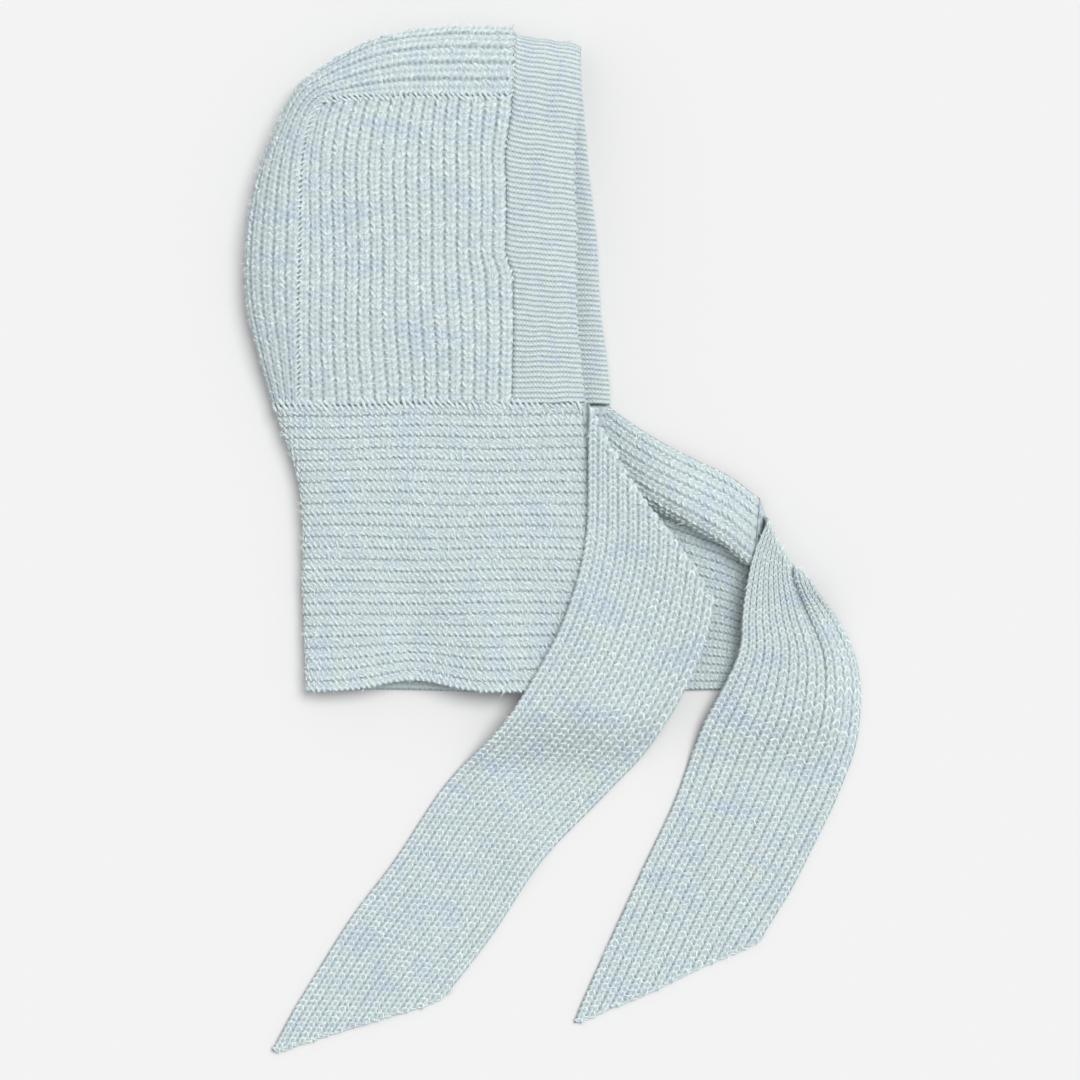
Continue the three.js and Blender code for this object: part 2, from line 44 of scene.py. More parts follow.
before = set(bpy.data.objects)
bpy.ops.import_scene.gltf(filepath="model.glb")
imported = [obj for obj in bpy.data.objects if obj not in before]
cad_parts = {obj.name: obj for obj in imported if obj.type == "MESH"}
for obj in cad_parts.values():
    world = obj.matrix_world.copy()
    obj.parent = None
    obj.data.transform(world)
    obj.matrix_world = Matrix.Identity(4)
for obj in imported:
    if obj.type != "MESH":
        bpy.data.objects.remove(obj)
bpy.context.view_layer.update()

MM = 0.001
RIGHT_ANGLE = math.pi / 2


def linear(hex_colour):
    """An sRGB hex colour as the linear red, green and blue that Blender works in."""
    parts = [int(hex_colour[i : i + 2], 16) / 255 for i in (1, 3, 5)]
    return tuple(c / 12.92 if c <= 0.04045 else ((c + 0.055) / 1.055) ** 2.4 for c in parts)


# Sizes, in millimetres from the chin

BAND_WIDTH = 54.0
CHIN_STEP = 5.0
SEAM_GAP = 0.3
HOOD_HEIGHT = 300.0
HOOD_DEPTH = 212.0
HOOD_LOFT = 42.0
FAR_SLIDE = 22.0
BAND_TOP_STEP = 0.038
OUTLINE_RISE = 11.0
COLLAR_HEIGHT = 229.0
COLLAR_LOFT = 24.0
HEM_LIFT = 8.0
HEM_LIFT_AT = -136.0
HEM_LIFT_WIDTH = 34.0
PINCH_TOP = 236.0
PINCH_LOW = 100.0
PINCH_WIDTH = 30.0
PINCH_DEPTH = 6.0
PLEAT_START = 16.0
PLEAT_RAMP = 70.0
PLEAT_REACH = 137.0
PLEAT_HEIGHT = 19.0
TIE_NEAR_LENGTH = 599.0
TIE_NEAR_WIDTH = 112.0
NEAR_FOLD_AT_HEM = 0.235
NEAR_FOLD_BEND = 0.8
TIE_FAR_LENGTH = 438.0
TIE_FAR_WIDTH = 120.0
ROLL_POWER = 2.4
ROLL_REACH = 52.0
LAYER_STEP = 6.0
FOLD_REST = 9.0
FOLD_LOFT = 9.0
EDGE_RADIUS = 3.2
LEAST_BODY_HEIGHT = 0.25
LEAST_STITCH_HEIGHT = 0.2
FLOOR_DROP = 0.4

# Ribs of each panel and grid steps across a rib. The crown's last ribs lie on the table, a tie's
# first rows lie under its fold and the first rows of the band's inside below its outer leg. Then
# the heights in millimetres of a course of the band and of the collar.
CROWN_RIBS = 10
CROWN_RIBS_SEEN = 8
SIDE_RIBS = 17
BAND_RIBS = 73
COLLAR_RIBS = 26
PER_RIB = 4
HIDDEN_TIE_ROWS = 14
HIDDEN_BAND_ROWS = 7
VALLEYS_PAST_TOP = 5
BAND_COURSE = 2.9
COLLAR_COURSE = 4.5

# Grid steps along the ribs of the hood and of the collar's seen part, in millimetres
GRID_STEP = 2.4

# Streaks of the melange to each rib and each course, and how far they shift with height
STREAKS = (0.15, 0.26, 1.0)

BAND_SEAM_X = -(BAND_WIDTH + CHIN_STEP)
DEEPEST_X = BAND_SEAM_X - HOOD_DEPTH
SEAM_ON_PLAN = SEAM_GAP / 2

# The chin's place in the part's frame, from the corner where the side panel meets band and collar
side_low, side_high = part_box("hood_side_near")
CHIN = np.array([
    side_high.x / MM - BAND_SEAM_X + SEAM_ON_PLAN,
    side_low.y / MM - SEAM_ON_PLAN,
    0.0,
])


def table(columns, *rows):
    """Named columns of numbers, one row for each section."""
    return dict(zip(columns.split(), np.array(rows, float).T))


# Across the crown strip, from the band to the nape: outline and seam, as shares of the hood
CROWN = table(
    "at back up seam_back seam_up",
    (0.0, 0.0, 1.005, 0.0, 0.811),
    (0.119, 0.249, 1.004, 0.219, 0.806),
    (0.262, 0.544, 0.964, 0.445, 0.803),
    (0.398, 0.79, 0.865, 0.66, 0.797),
    (0.45, 0.856, 0.8, 0.717, 0.784),
    (0.49, 0.897, 0.738, 0.752, 0.735),
    (0.565, 0.956, 0.634, 0.781, 0.64),
    (0.653, 0.997, 0.507, 0.792, 0.512),
    (0.73, 1.007, 0.392, 0.796, 0.392),
    (0.828, 1.0, 0.248, 0.8, 0.245),
    (0.913, 0.964, 0.125, 0.804, 0.125),
    (1.0, 0.905, 0.0, 0.804, 0.0),
)
CROWN_CORNER = 0.45

# Height of the upper layer, as shares of the loft, at the front, the middle and the back
HOOD_HEIGHTS = table(
    "at front middle back",
    (0.0, 0.52, 0.6, 0.5),
    (0.25, 0.66, 0.86, 0.72),
    (0.55, 0.78, 1.0, 0.84),
    (0.8, 0.8, 1.0, 0.84),
    (1.0, 0.72, 0.9, 0.76),
)
COLLAR_HEIGHTS = table(
    "at front middle back",
    (0.0, 0.91, 1.05, 0.875),
    (0.4, 0.84, 0.92, 0.8),
    (0.75, 0.86, 0.72, 0.72),
    (1.0, 0.8, 0.74, 0.66),
)

# Soft folds that run down to the collar's hem: place, width and height in millimetres
HEM_FOLDS = ((-85.6, 22.0, 3.4), (-141.7, 20.0, -3.6))

# Outline of the collar at the back, down from the hood's seam, as shares of the hood's depth
COLLAR_BACK = table(
    "at back",
    (0.0, 0.905), (0.13, 0.852), (0.22, 0.82), (0.35, 0.803), (0.7, 0.795), (1.0, 0.788),
)

# Front edge of the band, up from the chin: inset of its upper leg and slide of its lower one
BAND_FRONT = table(
    "at inset slide",
    (0.0, -0.04, 1.05),
    (0.1, 0.01, 0.97),
    (0.3, 0.05, 0.72),
    (0.5, 0.06, 0.54),
    (0.68, 0.07, 0.25),
    (0.85, 0.03, 0.0),
    (1.0, 0.0, 0.0),
)

# The pleat's section, over the ribs from its top edge to the hem: how far down each lies, as a
# share of the collar's height, and how high. The crest hangs over the ribs that it hides.
PLEAT = table(
    "at drop rise",
    (0.0, 0.325, 0.25),
    (0.07, 0.385, 0.62),
    (0.15, 0.47, 0.97),
    (0.2, 0.535, 1.0),
    (0.235, 0.565, 0.78),
    (0.265, 0.55, 0.5),
    (0.3, 0.525, 0.2),
    (0.35, 0.54, 0.04),
    (0.45, 0.615, 0.0),
    (1.0, 1.0, 0.0),
)

# Courses across each tie from its fold to its point: place of the left edge as shares of the
# length, width as a share of the width, and slope in degrees
NEAR_TIE = table(
    "at across down width turn",
    (0.0, 0.0, 0.0, 0.921, 0.0),
    (0.11, 0.0, 0.11, 0.926, -5.8),
    (0.209, -0.007, 0.208, 0.966, -7.7),
    (0.279, -0.027, 0.276, 0.995, -16.3),
    (0.371, -0.069, 0.358, 0.972, -31.9),
    (0.446, -0.11, 0.421, 0.898, -35.0),
    (0.563, -0.19, 0.507, 0.893, -36.9),
    (0.704, -0.267, 0.624, 0.872, -36.9),
    (0.846, -0.351, 0.739, 0.868, -37.5),
    (1.0, -0.427, 0.872, 0.786, -36.9),
)
FAR_TIE = table(
    "at across down width turn",
    (0.0, 0.0, 0.0, 0.27, -32.9),
    (0.083, -0.027, 0.078, 0.42, -19.2),
    (0.178, -0.046, 0.172, 0.62, -1.2),
    (0.248, -0.051, 0.241, 0.785, -4.7),
    (0.326, -0.08, 0.314, 0.965, -17.8),
    (0.398, -0.113, 0.378, 1.01, -23.1),
    (0.558, -0.17, 0.526, 0.972, -22.9),
    (0.708, -0.233, 0.663, 0.915, -24.0),
    (0.855, -0.298, 0.8, 0.885, -24.1),
    (1.0, -0.352, 0.936, 0.83, -24.1),
)


# Curves and heights

def mix(a, b, share):
    return a + (b - a) * share


def smooth(value):
    t = np.clip(value, 0, 1)
    return t * t * (3 - 2 * t)


def bell(value):
    return np.exp(-np.square(value))


def read(rows, column, at):
    """A column of a table at any share, on a smooth curve through its rows."""
    x, y = rows["at"], rows[column]
    at = np.clip(at, x[0], x[-1])
    before, after = np.r_[0, 0 : len(x) - 1], np.r_[1 : len(x), len(x) - 1]
    slope = (y[after] - y[before]) / (x[after] - x[before])
    k = np.clip(np.searchsorted(x, at, side="right") - 1, 0, len(x) - 2)
    step = x[k + 1] - x[k]
    t = (at - x[k]) / step
    leaving = (1 + 2 * t) * (1 - t) ** 2 * y[k] + t * (1 - t) ** 2 * step * slope[k]
    return leaving + t * t * (3 - 2 * t) * y[k + 1] - t * t * (1 - t) * step * slope[k + 1]


def across_layer(rows, at, back):
    """Front, middle and back columns joined by a curve, at shares down and back."""
    front = read(rows, "front", at) * (1 - back) * (1 - 2 * back)
    middle = read(rows, "middle", at) * 4 * back * (1 - back)
    return front + middle + read(rows, "back", at) * back * (2 * back - 1)


def run_length(line):
    """How far along a line of points each of them lies."""
    return np.r_[0, np.cumsum(np.linalg.norm(np.diff(line, axis=0), axis=1))]


def softness(x, y, reach=60.0):
    """Slow rise and fall of soft cloth, from -1 to 1, that repeats nowhere in view."""
    a = np.sin(x / reach * 2.1 + 1.3 * np.sin(y / reach * 1.1 + 0.7))
    b = np.sin(y / reach * 1.7 + 1.9 * np.sin(x / reach * 0.8 + 2.1))
    return 0.5 * (a + b)


def settled(points):
    """Points moved a little in plan, as soft cloth settles, and the pinch in the band's seam."""
    x, y = points[..., 0], points[..., 1]
    pinch = smooth((PINCH_TOP - y) / 48) * smooth((y - PINCH_LOW) / 20)
    pinch = pinch * bell((x - BAND_SEAM_X) / PINCH_WIDTH)
    upper = smooth((points[..., 2] - 8) / 8)
    east = 1.1 * softness(y, x, 38) - PINCH_DEPTH * pinch * upper
    north = 1.1 * softness(x + 200, y - 80, 44)
    return points + np.stack([east, north, np.zeros_like(x)], -1)


def upper_height(x, y):
    """Height of the middle of the upper layer of hood and collar above the table."""
    back = np.clip(x / DEEPEST_X, 0, 1)
    hood = HOOD_LOFT * across_layer(HOOD_HEIGHTS, np.clip(y / HOOD_HEIGHT, 0, 1), back)
    down = np.clip(-y / COLLAR_HEIGHT, 0, 1)
    collar = COLLAR_LOFT * across_layer(COLLAR_HEIGHTS, down, back)
    low = smooth((down - 0.4) / 0.4)
    folds = sum(height * bell((x - at) / width) for at, width, height in HEM_FOLDS)
    collar = collar + low * folds
    return np.where(y >= 0, hood, mix(hood, collar, smooth(down / 0.3)))


def rolled(height, from_outline):
    """The upper layer rolls down to the outline, where it stands OUTLINE_RISE above the table."""
    share = 1 - np.clip(from_outline / ROLL_REACH, 0, 1)
    return OUTLINE_RISE + (height - OUTLINE_RISE) * (1 - share**ROLL_POWER) ** (1 / ROLL_POWER)


def folded_section(reach, height_at, lower):
    """A section out along the upper layer, round the outline and back along the table."""
    angle = np.linspace(RIGHT_ANGLE, 0, 40)
    from_outline = ROLL_REACH * (1 - np.maximum(np.cos(angle), 0) ** (2 / ROLL_POWER))
    out = reach - from_outline[from_outline < reach]
    if len(out) < len(angle):
        out = np.r_[0.0, out]
    else:
        out = np.r_[np.linspace(0, out[0], 40)[:-1], out]
    z = rolled(height_at(out), reach - out)
    turn = np.linspace(0, RIGHT_ANGLE, 14)[1:]
    radius = OUTLINE_RISE - lower
    out = np.r_[out, reach - radius * (1 - np.cos(turn)), 0.0]
    return out, np.r_[z, OUTLINE_RISE - radius * np.sin(turn), lower]


def along_section(out, z, shares):
    """Points at shares of a section's length."""
    length = np.r_[0, np.cumsum(np.hypot(np.diff(out), np.diff(z)))]
    target = shares * length[-1]
    return np.interp(target, length, out), np.interp(target, length, z)


def hood_x(back):
    return BAND_SEAM_X - SEAM_ON_PLAN - back * HOOD_DEPTH


def hood_y(up):
    return SEAM_ON_PLAN + up * (HOOD_HEIGHT - SEAM_ON_PLAN)


# A panel of knit as a closed sheet: both faces with their stitches, and rounded free edges

def bridge(near, near_at, far, far_at):
    """Triangles between two rows of points whose places along the edge differ."""
    i = j = 0
    made = []
    while i < len(near) - 1 or j < len(far) - 1:
        near_next = near_at[i + 1] if i < len(near) - 1 else np.inf
        far_next = far_at[j + 1] if j < len(far) - 1 else np.inf
        if near_next <= far_next:
            made.append((near[i], near[i + 1], far[j]))
            i += 1
        else:
            made.append((near[i], far[j + 1], far[j]))
            j += 1
    return made


def grid_normals(points):
    """Unit normals of a grid of points, along rows crossed with along columns."""
    normal = np.cross(np.gradient(points, axis=0), np.gradient(points, axis=1))
    return normal / np.maximum(np.linalg.norm(normal, axis=2, keepdims=True), 1e-9)


def rib_relief(rib, sunk):
    """Rounded ribs with grooves between them, sunk below the stitches that lie on them."""
    off = np.abs(rib % 1.0 - 0.5) * 2
    return bpy.context.scene.scarf_knit.rib_relief / MM * (np.sqrt(1 - off**2.8) - 1) - sunk


def ridge_relief(rib, sunk):
    """Two fine ridges to each rib of the band, with slanted strands in the valleys between."""
    return -0.75 * np.cos(2 * np.pi * rib) ** 2 - sunk


def edge_fade(count_rows, count_columns, free, step_rows, step_columns, radius):
    """How thick a panel still is near its free edges, as a share: a rounded edge."""
    rows = np.arange(count_rows) * step_rows
    columns = np.arange(count_columns) * step_columns
    share = np.ones((count_rows, count_columns))
    places = {
        "start": rows[:, None],
        "end": rows[::-1][:, None],
        "first": columns[None, :],
        "last": columns[::-1][None, :],
    }
    for edge in free:
        near = np.clip(places[edge] / radius, 0, 1)
        share = share * np.sqrt(1 - (1 - near) ** 2 * 0.96)
    return share


def knit_panel(name, points, ribs, courses, options):
    """One closed sheet of knit round a grid of middle points.

    The outer face lies on the side that options["outer"] names, +1 or -1 along the normals.
    options["outer_rows"] and ["inner_rows"] pick the rows that each face keeps, and the same for
    columns, so that a hidden face has fewer triangles. options["sunk"] lowers the outer face, 1,
    or the inner one, -1, and options["free"] names the edges that are rounded.
    """
    knit = bpy.context.scene.scarf_knit
    rows, columns = points.shape[:2]
    outer = options["outer"]
    normals = grid_normals(points) * outer
    thickness = options.get("thickness", np.full((rows, columns), knit.thickness / MM))
    step_rows = np.linalg.norm(np.diff(points, axis=0), axis=2).mean()
    step_columns = np.linalg.norm(np.diff(points, axis=1), axis=2).mean()
    free = options.get("free", ())
    fade = edge_fade(rows, columns, free, step_rows, step_columns, EDGE_RADIUS)
    sunk = options.get("sunk", {})
    relief = options.get("relief", rib_relief)
    ridges = 2 if relief is ridge_relief else 1
    picks = {
        1: (options.get("outer_rows"), options.get("outer_columns")),
        -1: (options.get("inner_rows"), options.get("inner_columns")),
    }
    vertices, uvs, faces, grids = [], [], [], {}
    for side in (1, -1):
        row_pick, column_pick = picks[side]
        row_pick = np.arange(rows) if row_pick is None else row_pick
        column_pick = np.arange(columns) if column_pick is None else column_pick
        pick = np.ix_(row_pick, column_pick)
        raised = relief(ribs[pick], sunk.get(side, 0.0))
        lift = np.maximum(thickness[pick] / 2 + raised, 0.1) * fade[pick]
        place = points[pick] + normals[pick] * (side * lift)[..., None]
        place[..., 2] = np.maximum(place[..., 2], LEAST_BODY_HEIGHT)
        index = np.arange(place.shape[0] * place.shape[1]).reshape(place.shape[:2])
        index = index + sum(len(v) for v in vertices)
        vertices.append(place.reshape(-1, 3))
        uvs.append(np.stack([ridges * ribs[pick], courses[pick]], -1).reshape(-1, 2))
        grids[side] = (index, row_pick, column_pick)
        quads = np.stack([index[:-1, :-1], index[1:, :-1], index[1:, 1:], index[:-1, 1:]], -1)
        quads = quads.reshape(-1, 4)
        faces += (quads if side == outer else quads[:, ::-1]).tolist()
    (front, front_rows, front_columns), (back, back_rows, back_columns) = grids[1], grids[-1]
    rims = [
        bridge(front[:, 0], front_rows, back[:, 0], back_rows),
        [t[::-1] for t in bridge(front[:, -1], front_rows, back[:, -1], back_rows)],
        [t[::-1] for t in bridge(front[0], front_columns, back[0], back_columns)],
        bridge(front[-1], front_columns, back[-1], back_columns),
    ]
    for rim in rims:
        faces += [tuple(int(v) for v in (t[::-1] if outer > 0 else t)) for t in rim]
    mesh = bpy.data.meshes.new(name)
    places = (np.concatenate(vertices) + CHIN) * MM
    mesh.from_pydata(places.tolist(), [], faces)
    mesh.validate()
    mesh.shade_smooth()
    uvs = np.concatenate(uvs)
    mark(mesh, "stitch", np.column_stack([uvs, np.zeros(len(uvs))]))
    piece = bpy.data.objects.new(name, mesh)
    bpy.context.scene.collection.objects.link(piece)
    return piece


def mark(mesh, name, values):
    """Keeps a vector at each of a mesh's points."""
    layer = mesh.attributes.new(name, "FLOAT_VECTOR", "POINT")
    layer.data.foreach_set("vector", np.asarray(values, np.float32).ravel())


def stitch_points(surface, side, rib_picks, row_span, sunk, stagger=0.0, shift=0,
                  thickness=None):
    """Where each stitch of one face lies, its rib's direction, the way it faces and its size."""
    points, ribs, courses = surface
    if thickness is None:
        thickness = np.full(points.shape[:2], bpy.context.scene.scarf_knit.thickness / MM)
    rows, columns = points.shape[:2]
    per_rib = round((columns - 1) / ribs[0, -1])
    half = per_rib // 2
    row_numbers = np.arange(rows)
    kept = []
    for rib in rib_picks:
        column = rib * per_rib + half + shift
        if column + half >= columns:
            continue
        count = courses[:, column]
        first, last = count[row_span[0]], count[row_span[1]]
        at = np.arange(math.ceil(first), math.floor(last) + 1) + stagger * rib % 1
        at = at[at <= last - 0.3]

        def sample(place, where):
            row = np.interp(where, count, row_numbers)
            line = points[:, place]
            return np.stack([np.interp(row, row_numbers, line[:, k]) for k in range(3)], -1)

        place = sample(column, at)
        across = sample(column + half, at) - sample(column - half, at)
        along = sample(column, at + 0.5) - sample(column, at - 0.5)
        outward = np.cross(along, across) * side
        outward /= np.linalg.norm(outward, axis=1, keepdims=True)
        height = np.linalg.norm(along, axis=1)
        forward = along / height[:, None]
        square = across - forward * np.sum(across * forward, axis=1, keepdims=True)
        width = np.linalg.norm(square, axis=1)
        thick = np.interp(np.interp(at, count, row_numbers), row_numbers, thickness[:, column])
        place = place + outward * (thick / 2 - sunk)[:, None]
        marks = np.column_stack([np.full(len(at), rib + 0.5), at, np.zeros(len(at))])
        size = np.column_stack([width, height, 0.8 * width])
        kept.append(np.hstack([place, along, outward, size, marks]))
    return np.vstack(kept)


def edge_stitches(surface, side, edge, span, wide, tall, lift):
    """Stitches in a chain along one edge of a grid, such as a seam."""
    points = surface[0]
    line = points[edge][span]
    facing = (grid_normals(points) * side)[edge][span]
    length = run_length(line)
    at = np.arange(0.5, length[-1] / tall) * tall

    def sample(values, where):
        return np.stack([np.interp(where, length, values[:, k]) for k in range(3)], -1)

    outward = sample(facing, at)
    outward /= np.linalg.norm(outward, axis=1, keepdims=True)
    along = sample(line, at + 1) - sample(line, at - 1)
    place = sample(line, at) + outward * lift
    size = np.broadcast_to([wide, tall, 0.8 * wide], place.shape)
    marks = np.column_stack([np.full(len(at), 0.5), at / tall, np.zeros(len(at))])
    return np.hstack([place, along, outward, size, marks])


def steps(length, size):
    """How many steps of about that size fill a length."""
    return max(2, round(length / size))


def thin(count, every):
    """Every so many of count rows, with the last one."""
    return np.unique(np.r_[np.arange(0, count, every), count - 1])


def thinned(points, every_row, every_column=1):
    """A panel's options that keep few rows and columns of its inner face, which hardly shows."""
    rows, columns = points.shape[:2]
    return {"inner_rows": thin(rows, every_row), "inner_columns": thin(columns, every_column)}


# Middle surfaces of the panels

def crown_seam(at):
    return hood_x(read(CROWN, "seam_back", at)), hood_y(read(CROWN, "seam_up", at))


def crown_surface():
    """The crown strip: out from the near seam, round the outline and back to the far seam."""
    knit = bpy.context.scene.scarf_knit
    half = knit.thickness / MM / 2
    stations = np.linspace(0, 1, steps(520, GRID_STEP) + 1)
    shares = np.linspace(0, 1, CROWN_RIBS * PER_RIB + 1)
    seam_x, seam_y = crown_seam(stations)
    outline_x = hood_x(read(CROWN, "back", stations))
    outline_y = hood_y(read(CROWN, "up", stations))
    rows = []
    for i in range(len(stations)):
        across = np.array([outline_x[i] - seam_x[i], outline_y[i] - seam_y[i]])
        width = np.hypot(*across)
        across /= width
        reach = width - half - SEAM_ON_PLAN
        start = np.array([seam_x[i], seam_y[i]]) + across * SEAM_ON_PLAN

        def height_at(out):
            return upper_height(start[0] + across[0] * out, start[1] + across[1] * out)

        out, z = along_section(*folded_section(reach, height_at, half), shares)
        rows.append(np.stack([start[0] + across[0] * out, start[1] + across[1] * out, z], -1))
    points = settled(np.array(rows))
    courses = run_length(points[:, len(shares) // 2]) / (knit.course / MM)
    ribs = np.broadcast_to(shares * CROWN_RIBS, points.shape[:2])
    courses = np.broadcast_to(courses[:, None], points.shape[:2])
    return points, ribs, courses


def side_surface(upper):
    """A side panel between the crown's seam, the band's seam and the collar's seam."""
    knit = bpy.context.scene.scarf_knit
    half = knit.thickness / MM / 2
    up = np.linspace(0, 1, steps(243, GRID_STEP) + 1)[:, None]
    forward = np.linspace(0, 1, SIDE_RIBS * PER_RIB + 1)[None, :]
    corner_x, corner_y = crown_seam(CROWN_CORNER)
    seam_at = mix(1, CROWN_CORNER, up)
    back_x, back_y = crown_seam(seam_at)
    top_x, top_y = crown_seam(CROWN_CORNER * (1 - forward))
    top_forward = (top_x - corner_x) / (hood_x(0) - corner_x)
    y = mix(SEAM_ON_PLAN, top_y - SEAM_ON_PLAN, mix(back_y / corner_y, up, forward))
    slide = 0 if upper else FAR_SLIDE * read(BAND_FRONT, "slide", y / HOOD_HEIGHT) - 0.5
    x = mix(back_x + SEAM_ON_PLAN, hood_x(0) + slide, mix(forward, top_forward, up))
    x, y = np.broadcast_arrays(x, y)
    if upper:
        outline_x = hood_x(read(CROWN, "back", seam_at)) + half
        z = rolled(upper_height(x, y), x - outline_x)
        z = z + 1.1 * softness(x, y, 34) * smooth(forward * 4) * smooth((1 - forward) * 4)
    else:
        z = np.full(x.shape, half)
    ribs = np.broadcast_to(forward * SIDE_RIBS, x.shape)
    return settled(np.stack([x, y, z], -1)), ribs, y / (knit.course / MM)


def band_surface():
    """The doubled band: one loop from the chin over the top and back, its lower leg slid out."""
    knit = bpy.context.scene.scarf_knit
    along = np.linspace(0, 1, 17)
    shares = np.linspace(0, 1, BAND_RIBS * PER_RIB + 1)
    half = knit.band_thickness / MM / 2
    rows = []
    for step in along:
        x = mix(BAND_SEAM_X + SEAM_ON_PLAN, -CHIN_STEP, step)
        top = HOOD_HEIGHT * (1 - BAND_TOP_STEP * math.sqrt(step))
        reach = top - SEAM_ON_PLAN - half
        section = folded_section(reach, lambda out: upper_height(x, SEAM_ON_PLAN + out), half)
        out, z = along_section(*section, shares)
        y = SEAM_ON_PLAN + out
        y = y + 0.6 * softness(x * 3.5, y * 1.2, 24) * math.sin(step * math.pi)
        up = np.clip(y / HOOD_HEIGHT, 0, 1)
        lower = smooth((shares - 0.485) / 0.03)
        slide = np.maximum(0, FAR_SLIDE * read(BAND_FRONT, "slide", up)) * lower
        inset = BAND_WIDTH * read(BAND_FRONT, "inset", up) * (1 - lower)
        scallop = 0.9 * step**6 * np.sin(shares * BAND_RIBS * 2 * np.pi) * (1 - lower)
        ripple = 0.8 * softness(x * 2, y, 24) * math.sin(step * math.pi)
        z = z + ripple * (1 - lower)
        rows.append(np.stack([x + slide - inset * step + scallop, y, z], -1))
    points = settled(np.array(rows))
    body = mix(knit.thickness, knit.band_thickness, smooth(along / 0.3)) / MM
    thickness = body * np.sqrt(1 - 0.9 * np.clip((along - 0.7) / 0.3, 0, 1) ** 2)
    thickness = np.broadcast_to(thickness[:, None], points.shape[:2])
    ribs = np.broadcast_to(shares * BAND_RIBS, points.shape[:2])
    courses = np.broadcast_to(along[:, None] * BAND_WIDTH / BAND_COURSE, points.shape[:2])
    return points, ribs, courses, thickness


def collar_near_end(down):
    return -6 + 14 * (1 - (1 - down) ** 3)


def collar_far_end(down):
    return PLEAT_REACH - 14 * down


def pleat_point(x, down):
    """A point of the collar's lower layer right of the chin, where its ribs run into the pleat."""
    half = bpy.context.scene.scarf_knit.thickness / MM / 2
    share = np.clip((x - PLEAT_START) / (collar_far_end(down) - PLEAT_START), 0, 1)
    share = 0.93 * share**0.88 + 0.07 * smooth((share - 0.8) / 0.2)
    drop = mix(down, read(PLEAT, "drop", down), share)
    rise = PLEAT_HEIGHT * read(PLEAT, "rise", down) * smooth((x - PLEAT_START) / PLEAT_RAMP)
    return np.stack([x, -SEAM_ON_PLAN - drop * (COLLAR_HEIGHT - SEAM_ON_PLAN), half + rise], -1)


def collar_surface():
    """From under the near tie back over the upper layer, round the nape, along the table and
    into the pleat below the far tie."""
    knit = bpy.context.scene.scarf_knit
    half = knit.thickness / MM / 2
    down = np.linspace(0, 1, COLLAR_RIBS * PER_RIB + 1)
    y = -SEAM_ON_PLAN - down * (COLLAR_HEIGHT - SEAM_ON_PLAN)
    near_x = collar_near_end(down)
    outline_x = hood_x(read(COLLAR_BACK, "back", down)) + half
    rows, stretches = [], {}

    def upper_point(x):
        low = smooth((down - 0.75) / 0.25)
        lift = HEM_LIFT * bell((x - HEM_LIFT_AT) / HEM_LIFT_WIDTH) * low
        z = rolled(upper_height(x, y), x - outline_x) + 1.0 * softness(x, y, 30) * smooth(down * 3)
        return np.stack([x, y + lift, z], -1)

    def stretch(name, count, point):
        begin = len(rows)
        for k in range(count):
            rows.append(point(k / count))
        stretches[name] = (begin, len(rows))

    radius = OUTLINE_RISE - half
    roll_x = outline_x + ROLL_REACH

    def roll(share):
        angle = (1 - share) * RIGHT_ANGLE
        return upper_point(outline_x + ROLL_REACH * (1 - max(0, math.cos(angle)) ** (2 / ROLL_POWER)))

    def turn(share):
        angle = share * RIGHT_ANGLE
        x = outline_x + radius * (1 - math.cos(angle))
        return np.stack([x, y, np.full_like(x, OUTLINE_RISE - radius * math.sin(angle))], -1)

    def lower(share):
        x = mix(outline_x + radius, PLEAT_START, share)
        return np.stack([x, y, np.full_like(x, half)], -1)

    def pleat(share):
        return pleat_point(mix(PLEAT_START, collar_far_end(down), share), down)

    stretch("upper", steps(215, GRID_STEP), lambda share: upper_point(mix(near_x, roll_x, share)))
    stretch("roll", steps(60, 2.0), roll)
    stretch("turn", steps(14, 1.8), turn)
    stretch("lower", steps(245, 5), lower)
    stretch("pleat", steps(130, 2.2), pleat)
    rows.append(pleat(1.0))
    points = settled(np.array(rows))
    courses = run_length(points[:, len(down) // 3]) / COLLAR_COURSE
    ribs = np.broadcast_to(down * COLLAR_RIBS, points.shape[:2])
    courses = np.broadcast_to(courses[:, None], points.shape[:2])
    begin = stretches["pleat"][0]
    fine_front = np.unique(np.r_[np.arange(0, begin), thin(len(points) - begin, 3) + begin])
    fine_back = np.unique(np.r_[thin(begin, 3), np.arange(begin, len(points))])
    return (points, ribs, courses), stretches, fine_front, fine_back


def over_hem(y):
    """How much of its height over the collar a tie still has, below the collar's hem."""
    return 1 - smooth((-y - COLLAR_HEIGHT - 12) / 56)


